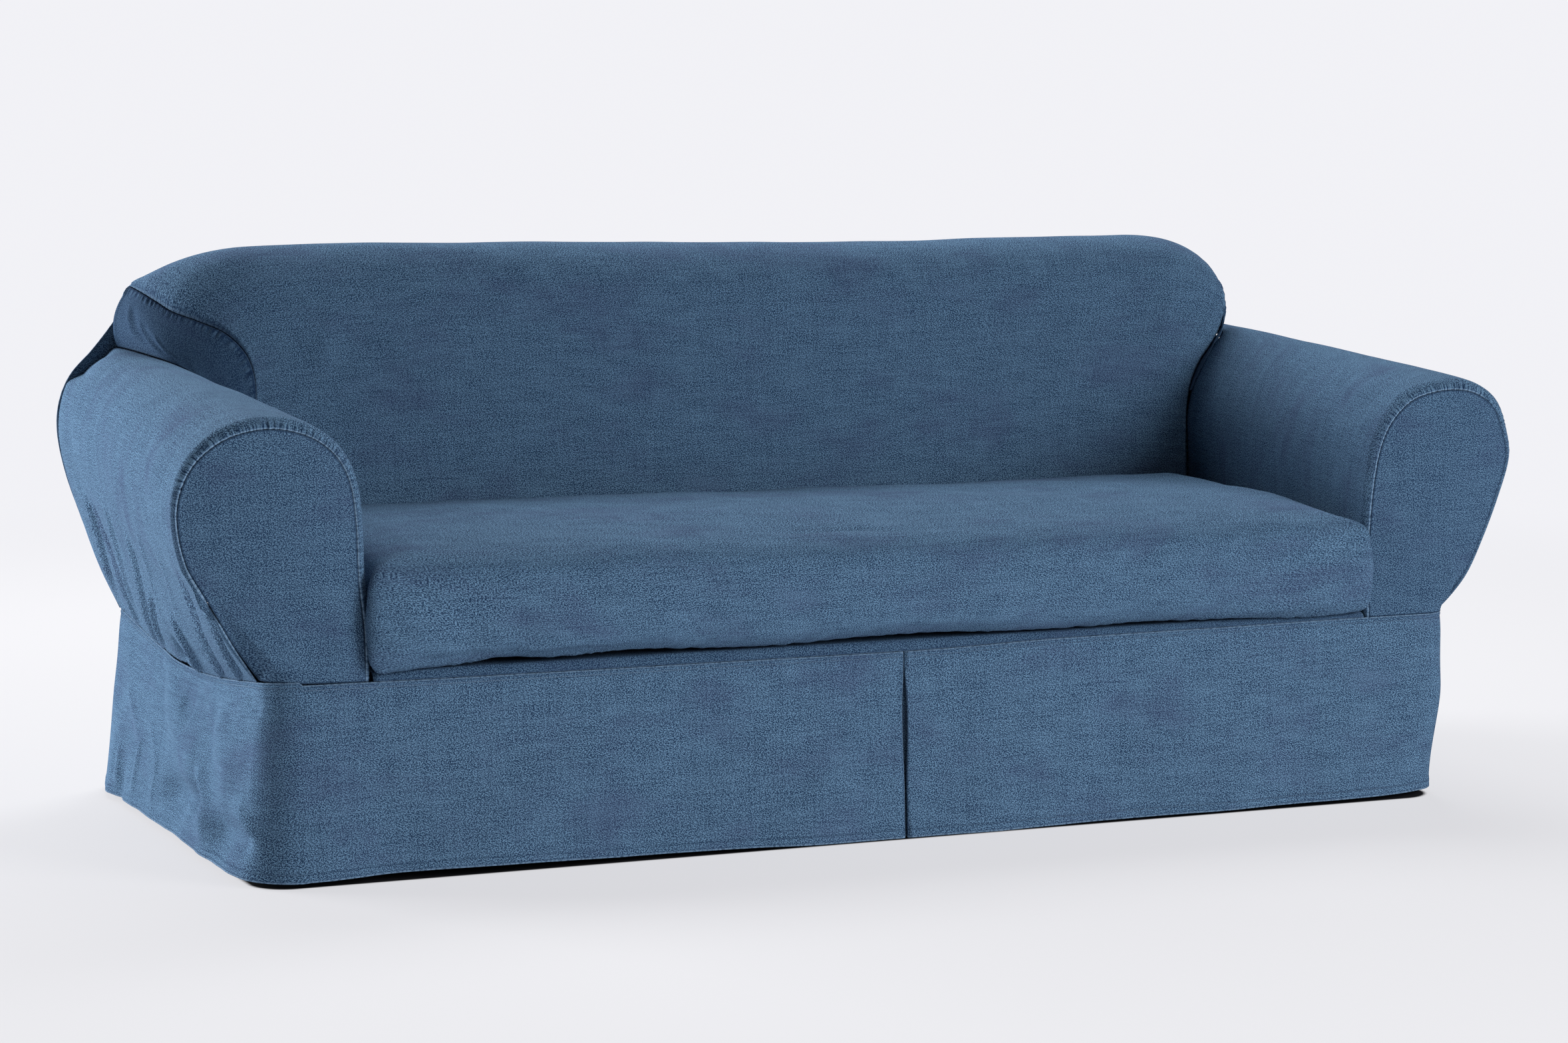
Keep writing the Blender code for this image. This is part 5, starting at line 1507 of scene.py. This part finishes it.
class PlanPoint(NamedTuple):
    """A point of the skirt's plan, with its outward direction and its place."""
    across: float
    depth: float
    out_across: float
    out_depth: float
    side: str
    along: float
    pleat_side: float       # -1 or 1 on the folds of the kick pleat, else 0
    layer: float            # how many layers behind the front


SKIRT_FRONT_STEPS = 190     # columns on each side of the pleat
SKIRT_SIDE_STEPS = 190
SKIRT_REAR_STEPS = 120
CORNER_STEPS = 14
FOLD_TURN_STEPS = 8
PLEAT_STEPS = 6
SKIRT_ROWS = 46
ROW_EVENNESS = 0.6          # the rows lie closer at the seam and at the hem
FORWARD = (0.0, -1.0)


def plan_point(across, depth, way, side, pleat_side=0.0, layer=0.0):
    """One point of the plan, its place measured along its own side."""
    along = across if side in ("front", "rear") else depth
    return PlanPoint(across, depth, *way, side, along, pleat_side, layer)


def straight(start, end, steps, way, side, pleat_side=0.0, layer=0.0):
    """Plan points along a straight run, without its last point."""
    points = []
    for index in range(steps):
        across = mix(start[0], end[0], index / steps)
        depth = mix(start[1], end[1], index / steps)
        points.append(plan_point(across, depth, way, side, pleat_side, layer))
    return points


def corner(centre, radius, first_angle, side):
    """Plan points round an outer corner, without its last point."""
    points = []
    for index in range(CORNER_STEPS):
        angle = first_angle + math.pi * 0.5 * index / CORNER_STEPS
        way = (math.cos(angle), math.sin(angle))
        points.append(plan_point(centre[0] + way[0] * radius, centre[1] + way[1] * radius, way, side))
    return points


def fold_turn(edge, first_layer, toward, pleat_side):
    """Plan points round one folded edge of the pleat, between two layers."""
    points = []
    for index in range(1, FOLD_TURN_STEPS):
        angle = math.pi * index / FOLD_TURN_STEPS
        across = edge + toward * PLEAT_LAYER * 0.5 * math.sin(angle)
        layer = first_layer + (1.0 - math.cos(angle)) * 0.5
        points.append(PlanPoint(across, layer * PLEAT_LAYER, *FORWARD, "front", edge, pleat_side, layer))
    return points


def skirt_plan():
    """The closed plan of the skirt, from the pleat round to the right and back."""
    meet_right = PLEAT_ACROSS + PLEAT_LAYER * 0.5 + SEAM_GAP
    meet_left = PLEAT_ACROSS - PLEAT_LAYER * 0.5 - SEAM_GAP
    deep_right = PLEAT_ACROSS + PLEAT_WIDTH
    deep_left = PLEAT_ACROSS - PLEAT_WIDTH
    left, right, rear = SKIRT_LEFT, SKIRT_RIGHT, SKIRT_DEPTH
    near, far = CORNER_RADIUS, REAR_CORNER_RADIUS
    points = straight((meet_right, 0.0), (right - near, 0.0), SKIRT_FRONT_STEPS, FORWARD, "front")
    points += corner((right - near, near), near, -math.pi * 0.5, "front")
    points += straight((right, near), (right, rear - far), SKIRT_SIDE_STEPS, (1.0, 0.0), "right")
    points += corner((right - far, rear - far), far, 0.0, "right")
    points += straight((right - far, rear), (left + far, rear), SKIRT_REAR_STEPS, (0.0, 1.0), "rear")
    points += corner((left + far, rear - far), far, math.pi * 0.5, "rear")
    points += straight((left, rear - far), (left, near), SKIRT_SIDE_STEPS, (-1.0, 0.0), "left")
    points += corner((left + near, near), near, math.pi, "left")
    points += straight((left + near, 0.0), (meet_left, 0.0), SKIRT_FRONT_STEPS, FORWARD, "front")
    middle, deepest = PLEAT_LAYER, 2.0 * PLEAT_LAYER
    points.append(plan_point(meet_left, 0.0, FORWARD, "front", -1.0, 0.0))
    points += fold_turn(meet_left, 0.0, 1.0, -1.0)
    points += straight((meet_left, middle), (deep_left, middle), PLEAT_STEPS, FORWARD, "front", -1.0, 1.0)
    points.append(plan_point(deep_left, middle, FORWARD, "front", -1.0, 1.0))
    points += fold_turn(deep_left, 1.0, -1.0, -1.0)
    points += straight(
        (deep_left, deepest), (deep_right, deepest), 2 * PLEAT_STEPS, FORWARD, "front", -1.0, 2.0)
    points.append(plan_point(deep_right, deepest, FORWARD, "front", 1.0, 2.0))
    points += reversed(fold_turn(deep_right, 1.0, 1.0, 1.0))
    points += straight((deep_right, middle), (meet_right, middle), PLEAT_STEPS, FORWARD, "front", 1.0, 1.0)
    points.append(plan_point(meet_right, middle, FORWARD, "front", 1.0, 1.0))
    points += reversed(fold_turn(meet_right, 0.0, -1.0, 1.0))
    return points


# places across or in depth between which the hem's flare changes
LEFT_CORNER_PART = (-0.82, -0.93)
RIGHT_CORNER_PART = (0.70, 0.95)
LEFT_FRONT_PART = (0.10, 0.0)
LEFT_REAR_PART = (0.85, SKIRT_DEPTH)
REAR_LEFT_PART = (-0.85, SKIRT_LEFT)


def skirt_flare(sides, along):
    """How far the hem stands out from the seam on each side."""
    front = mix(FRONT_FLARE, CORNER_FLARE, smoothstep(*LEFT_CORNER_PART, along))
    front = mix(front, RIGHT_FLARE, smoothstep(*RIGHT_CORNER_PART, along))
    left = mix(LEFT_FLARE, CORNER_FLARE, smoothstep(*LEFT_FRONT_PART, along))
    left = left - (LEFT_FLARE - REAR_CORNER_FLARE) * smoothstep(*LEFT_REAR_PART, along)
    rear = mix(RIGHT_FLARE, REAR_CORNER_FLARE, smoothstep(*REAR_LEFT_PART, along))
    return np.select([sides == "front", sides == "left", sides == "rear"], [front, left, rear], RIGHT_FLARE)


SKIRT_CALM = (0.0, 0.15)    # shares of the drop
JOIN_IN = (0.0, 0.2)        # metres round from the pleat, where both ends meet
JOIN_OUT = 0.4
SKIRT_WAVES = (Wave(1.0, 0.29, 0.9), Wave(0.4, 0.09, 1.9, stretch_t=0.5))
SKIRT_WELTS = (Ridge(0.9, 0.004, 0.004), Ridge(-0.5, 0.010, 0.004))
TOP_ROW = 0.0085            # the stitched row below the top seam
TOP_GATHERS = Gather(1 / 3, 0.023, 1.3, 0.012, 0.018)
HEM_GATHERS = Gather(1 / 3, 0.017, 0.3, HEM_ROW, 0.014)
HEM_FOLD = (0.0145, 0.0125)
HEM_PROUD = 0.0009
PLEAT_OPENS = (PLEAT_SEWN, 0.32)
PLEAT_CLOSES = (0.40, 0.75)
PLEAT_CLOSING = 0.6
FRONT_LAYERS = 1.0 + 1e-6
WORN_LAYERS = 0.6
HEM_WEAR = 0.0004
PLEAT_WEAR = 0.0008


def skirt():
    """One strip all round, its ends joined behind the kick pleat."""
    plan = skirt_plan()
    plan.append(plan[0])
    across, depth, along, layer, out_across, out_depth, pleat_side = (
        column(plan, name)[None, :]
        for name in ("across", "depth", "along", "layer", "out_across", "out_depth", "pleat_side"))
    flat_part = pleat_side == 0.0
    sides = np.array([item.side for item in plan])[None, :]
    at_front = sides == "front"
    rows = np.linspace(0.0, 1.0, SKIRT_ROWS + 1)
    rows = mix(3.0 * rows ** 2 - 2.0 * rows ** 3, rows, ROW_EVENNESS)
    drop = 1.0 - rows[:, None]
    seam = np.where(at_front, between(FRONT_LEVELS, "across", across, "seam"), REAR_SKIRT_TOP)
    for arm in ARMS:
        seam = np.where(sides == arm.name, SKIRT_TOP - side_sag(arm, depth), seam)
    hem = np.where(at_front, between(FRONT_LEVELS, "across", across, "hem"), HEM_HEIGHT)
    height = mix(seam - SEAM_GAP, hem, drop)
    below_seam = seam - height
    above_hem = height - hem
    places = np.broadcast_to(along, height.shape)
    run = np.concatenate([[0.0], np.cumsum(np.hypot(np.diff(across[0]), np.diff(depth[0])))])[None, :]
    settle = smoothstep(*SKIRT_CALM, drop) * smoothstep(*JOIN_IN, run)
    settle = settle * smoothstep(run[0, -1], run[0, -1] - JOIN_OUT, run)

    relief = fold_relief(LEFT_SKIRT_FOLDS, places, height) * (sides == "left")
    relief += fold_relief(FRONT_SKIRT_FOLDS, places, height) * at_front
    for fold in SKIRT_FOLDS:
        reach = smoothstep(1.0 - fold.rise, 1.0, drop)
        relief += fold.lift * reach * hill(along - fold.along, fold.width) * (sides == fold.side)
    relief += uneven(SKIRT_WAVES, run, height) * settle
    relief += welts(SKIRT_WELTS, below_seam) + HEM_PROUD * smoothstep(*HEM_FOLD, above_hem)
    relief += gathers(HEM_GATHERS, run, above_hem) + gathers(TOP_GATHERS, run, below_seam)
    stands_out = skirt_flare(sides, along) * drop + relief * flat_part

    opening = smoothstep(*PLEAT_OPENS, drop) - PLEAT_CLOSING * smoothstep(*PLEAT_CLOSES, drop)
    opening = opening * PLEAT_SPREAD * hill(across - PLEAT_ACROSS, PLEAT_REACH) * (layer <= FRONT_LAYERS)
    base = point(
        across + out_across * stands_out + np.copysign(1.0, across - PLEAT_ACROSS) * opening,
        depth + out_depth * stands_out + layer * PLEAT_LAYER * 0.5 * drop,
        height,
    )
    # the distance from the pleat's folded edge carries its worn line and the painted shadow beside it
    in_fold = (across < PLEAT_ACROSS) & (layer < WORN_LAYERS)
    worn_and_painted_shadow_fold = np.where(in_fold, PLEAT_ACROSS - across, 1.0)
    measures = {
        "edge": np.minimum(np.minimum(below_seam, above_hem + HEM_WEAR), worn_and_painted_shadow_fold + PLEAT_WEAR),
        "run": np.broadcast_to(run, height.shape),
        "row": np.minimum(np.abs(above_hem - HEM_ROW), np.abs(below_seam - TOP_ROW)),
    }
    sew("skirt_sheet", base, measures)


class SewSkirt(bpy.types.Operator):
    """Sew the skirt with its kick pleat and its hem."""
    bl_idname = "cover.skirt"
    bl_label = "Sew Skirt"
    bl_options = {"REGISTER", "UNDO"}

    def execute(self, context):
        skirt()
        return {"FINISHED"}


# ---- stage ----
FLOOR_RADIUS = 14.0
FLOOR_SIDES = 96
# painted shadow: the colour of the floor under the cover
PAINTED_SHADOW_UNDER_COVER = (0.012, 0.012, 0.016)
UNDER_CORNER = 0.060        # the painted shadow on the floor under the cover has rounded corners
UNDER_EDGE = (-0.006, 0.004)
FOOTPRINT = (("X", -0.0185, 1.0035), ("Y", -0.3450, 0.468))    # middle and half width
FADE_START = 1.9            # where the floor begins to melt into the backdrop
FADE_END = 4.6
FLOOR_FINISH = {"Roughness": 0.75, "Specular IOR Level": 0.2}
WHITE = (1.0, 1.0, 1.0)
CAMERA_PLACE = (-2.543, -5.581, 1.190)
CAMERA_TURN = (83.56, 0.0, -22.9)
SENSOR_WIDTH = 36.0
VIEW_END = 100.0


class StudioLight(NamedTuple):
    """A large soft light, placed round the middle of the seat."""
    where: str
    turn: float             # degrees from the front, + toward the right
    lift: float             # degrees above the seat
    distance: float
    size: float
    power: float


STUDIO_AIM = (0.0, 0.25, 0.45)
STUDIO_LIGHTS = [
    StudioLight("key at the front right", 38.0, 19.0, 9.0, 3.8, 610.0),
    StudioLight("low front fill", 8.0, 4.0, 3.6, 1.8, 19.0),
    StudioLight("left rear", -132.0, 9.0, 10.0, 6.0, 2250.0),
    StudioLight("high rear right", 152.0, 48.0, 4.5, 2.2, 160.0),
    StudioLight("high rear left", -162.0, 52.0, 4.5, 2.2, 80.0),
]


def studio_light(item, scale):
    """Hang one light and aim it at the seat."""
    turn = math.radians(item.turn)
    lift = math.radians(item.lift)
    way = (math.cos(lift) * math.sin(turn), -math.cos(lift) * math.cos(turn), math.sin(lift))
    light = bpy.data.lights.new(item.where, "AREA")
    light.shape = "SQUARE"
    light.size = item.size
    light.energy = item.power * scale
    lamp = bpy.data.objects.new(item.where, light)
    bpy.context.scene.collection.objects.link(lamp)
    lamp.location = np.array(STUDIO_AIM) + np.array(way) * item.distance - HANGING_POINT
    lamp.rotation_euler = (math.pi * 0.5 - lift, 0.0, turn)
    lamp.visible_camera = False


def pale_floor(stage):
    """Pale paper, with a painted shadow under the cover, that melts into the backdrop further out."""
    paper = bpy.data.materials.new("pale_floor")
    nodes = Nodes(paper)
    place = nodes.add("ShaderNodeTexCoord", {})
    level = nodes.scaled(place.outputs["Object"], (1.0, 1.0, 0.0))
    away = nodes.add("ShaderNodeVectorMath", {0: level}, operation="LENGTH")
    far = nodes.ramp(away.outputs["Value"], Ramp(FADE_START, FADE_END, stage.glow, 1.0))
    parts = nodes.add("ShaderNodeSeparateXYZ", {0: level})
    squares = []
    for axis, middle, half in FOOTPRINT:
        off = nodes.math("ABSOLUTE", nodes.math("SUBTRACT", parts.outputs[axis], middle))
        off = nodes.math("MAXIMUM", nodes.math("SUBTRACT", off, half - UNDER_CORNER), 0.0)
        squares.append(nodes.math("MULTIPLY", off, off))
    off = nodes.math("SQRT", nodes.math("ADD", *squares))
    outside = nodes.ramp(off, Ramp(UNDER_CORNER + UNDER_EDGE[0], UNDER_CORNER + UNDER_EDGE[1]))
    shader = nodes.all["Principled BSDF"]
    # painted shadow under the cover, blending into the pale floor outside its footprint
    colour = nodes.tint(outside, PAINTED_SHADOW_UNDER_COVER, stage.floor_colour)
    for socket, value in {"Base Color": colour, **FLOOR_FINISH}.items():
        nodes.feed(shader.inputs[socket], value)
    glow = nodes.add("ShaderNodeEmission", {"Color": stage.backdrop})
    own = nodes.math("MULTIPLY", far, outside)
    nodes.mixed_shader(own, shader.outputs["BSDF"], glow.outputs["Emission"], "Material Output")
    return paper


def lay_floor(stage):
    """A wide round floor, level with the hem's lowest point."""
    work = bmesh.new()
    bmesh.ops.create_circle(work, cap_ends=True, segments=FLOOR_SIDES, radius=FLOOR_RADIUS)
    bmesh.ops.translate(work, verts=work.verts[:], vec=tuple(-HANGING_POINT))
    mesh = bpy.data.meshes.new("floor")
    work.to_mesh(mesh)
    work.free()
    floor = bpy.data.objects.new("floor", mesh)
    bpy.context.scene.collection.objects.link(floor)
    mesh.materials.append(pale_floor(stage))


def light_world(stage):
    """An even light all round, with the backdrop's colour where the camera sees it."""
    world = bpy.data.worlds.new("studio")
    bpy.context.scene.world = world
    nodes = Nodes(world)
    even = nodes.all["Background"]
    nodes.feed(even.inputs["Color"], WHITE)
    nodes.feed(even.inputs["Strength"], stage.ambient)
    seen = nodes.add("ShaderNodeBackground", {"Color": stage.backdrop})
    path = nodes.add("ShaderNodeLightPath", {})
    nodes.mixed_shader(
        path.outputs["Is Camera Ray"], even.outputs["Background"], seen.outputs["Background"], "World Output")


def place_camera(stage):
    """The camera, at the front left and a little above the arms."""
    scene = bpy.context.scene
    view = bpy.data.cameras.new("camera")
    view.lens = stage.focal_length
    view.sensor_width = SENSOR_WIDTH
    view.clip_end = VIEW_END
    camera = bpy.data.objects.new("camera", view)
    scene.collection.objects.link(camera)
    camera.location = np.array(CAMERA_PLACE) - HANGING_POINT
    camera.rotation_euler = [math.radians(value) for value in CAMERA_TURN]
    scene.camera = camera
    scene.view_settings.view_transform = "Standard"
    scene.view_settings.look = "None"


class SetStage(bpy.types.Operator):
    """Lay the pale floor, set the soft light and place the camera."""
    bl_idname = "cover.stage"
    bl_label = "Set Stage"
    bl_options = {"REGISTER", "UNDO"}

    def execute(self, context):
        stage = context.scene.cover_stage
        lay_floor(stage)
        light_world(stage)
        for item in STUDIO_LIGHTS:
            studio_light(item, stage.power)
        place_camera(stage)
        return {"FINISHED"}


class SofaCoverPanel(bpy.types.Panel):
    """Settings and steps of the sofa cover."""
    bl_idname = "VIEW3D_PT_sofa_cover"
    bl_label = "Sofa Cover"
    bl_space_type = "VIEW_3D"
    bl_region_type = "UI"
    bl_category = "Sofa Cover"

    def draw(self, context):
        layout = self.layout
        layout.use_property_split = True
        scene = context.scene
        groups = {"Cloth": scene.cover_cloth, "Sewing": scene.cover_sewing, "Stage": scene.cover_stage}
        for title, group in groups.items():
            box = layout.box()
            box.label(text=title)
            for name in group.__annotations__:
                box.prop(group, name)
        for step in STEPS:
            layout.operator(step.bl_idname)


SETTINGS = (ClothSettings, SewingSettings, StageSettings)
STEPS = (SewArms, SewBack, SewSeat, SewSkirt, SetStage)
CLASSES = SETTINGS + STEPS + (SofaCoverPanel,)


def register():
    """Add the settings, the steps and the sidebar panel to Blender."""
    for item in CLASSES:
        bpy.utils.register_class(item)
    bpy.types.Scene.cover_cloth = bpy.props.PointerProperty(type=ClothSettings)
    bpy.types.Scene.cover_sewing = bpy.props.PointerProperty(type=SewingSettings)
    bpy.types.Scene.cover_stage = bpy.props.PointerProperty(type=StageSettings)


def unregister():
    """Take everything out again."""
    del bpy.types.Scene.cover_stage
    del bpy.types.Scene.cover_sewing
    del bpy.types.Scene.cover_cloth
    for item in reversed(CLASSES):
        bpy.utils.unregister_class(item)


def main():
    """Make the whole cover and its stage."""
    register()
    bpy.ops.cover.arms()
    bpy.ops.cover.back()
    bpy.ops.cover.seat()
    bpy.ops.cover.skirt()
    bpy.ops.cover.stage()


if __name__ == "__main__":
    main()
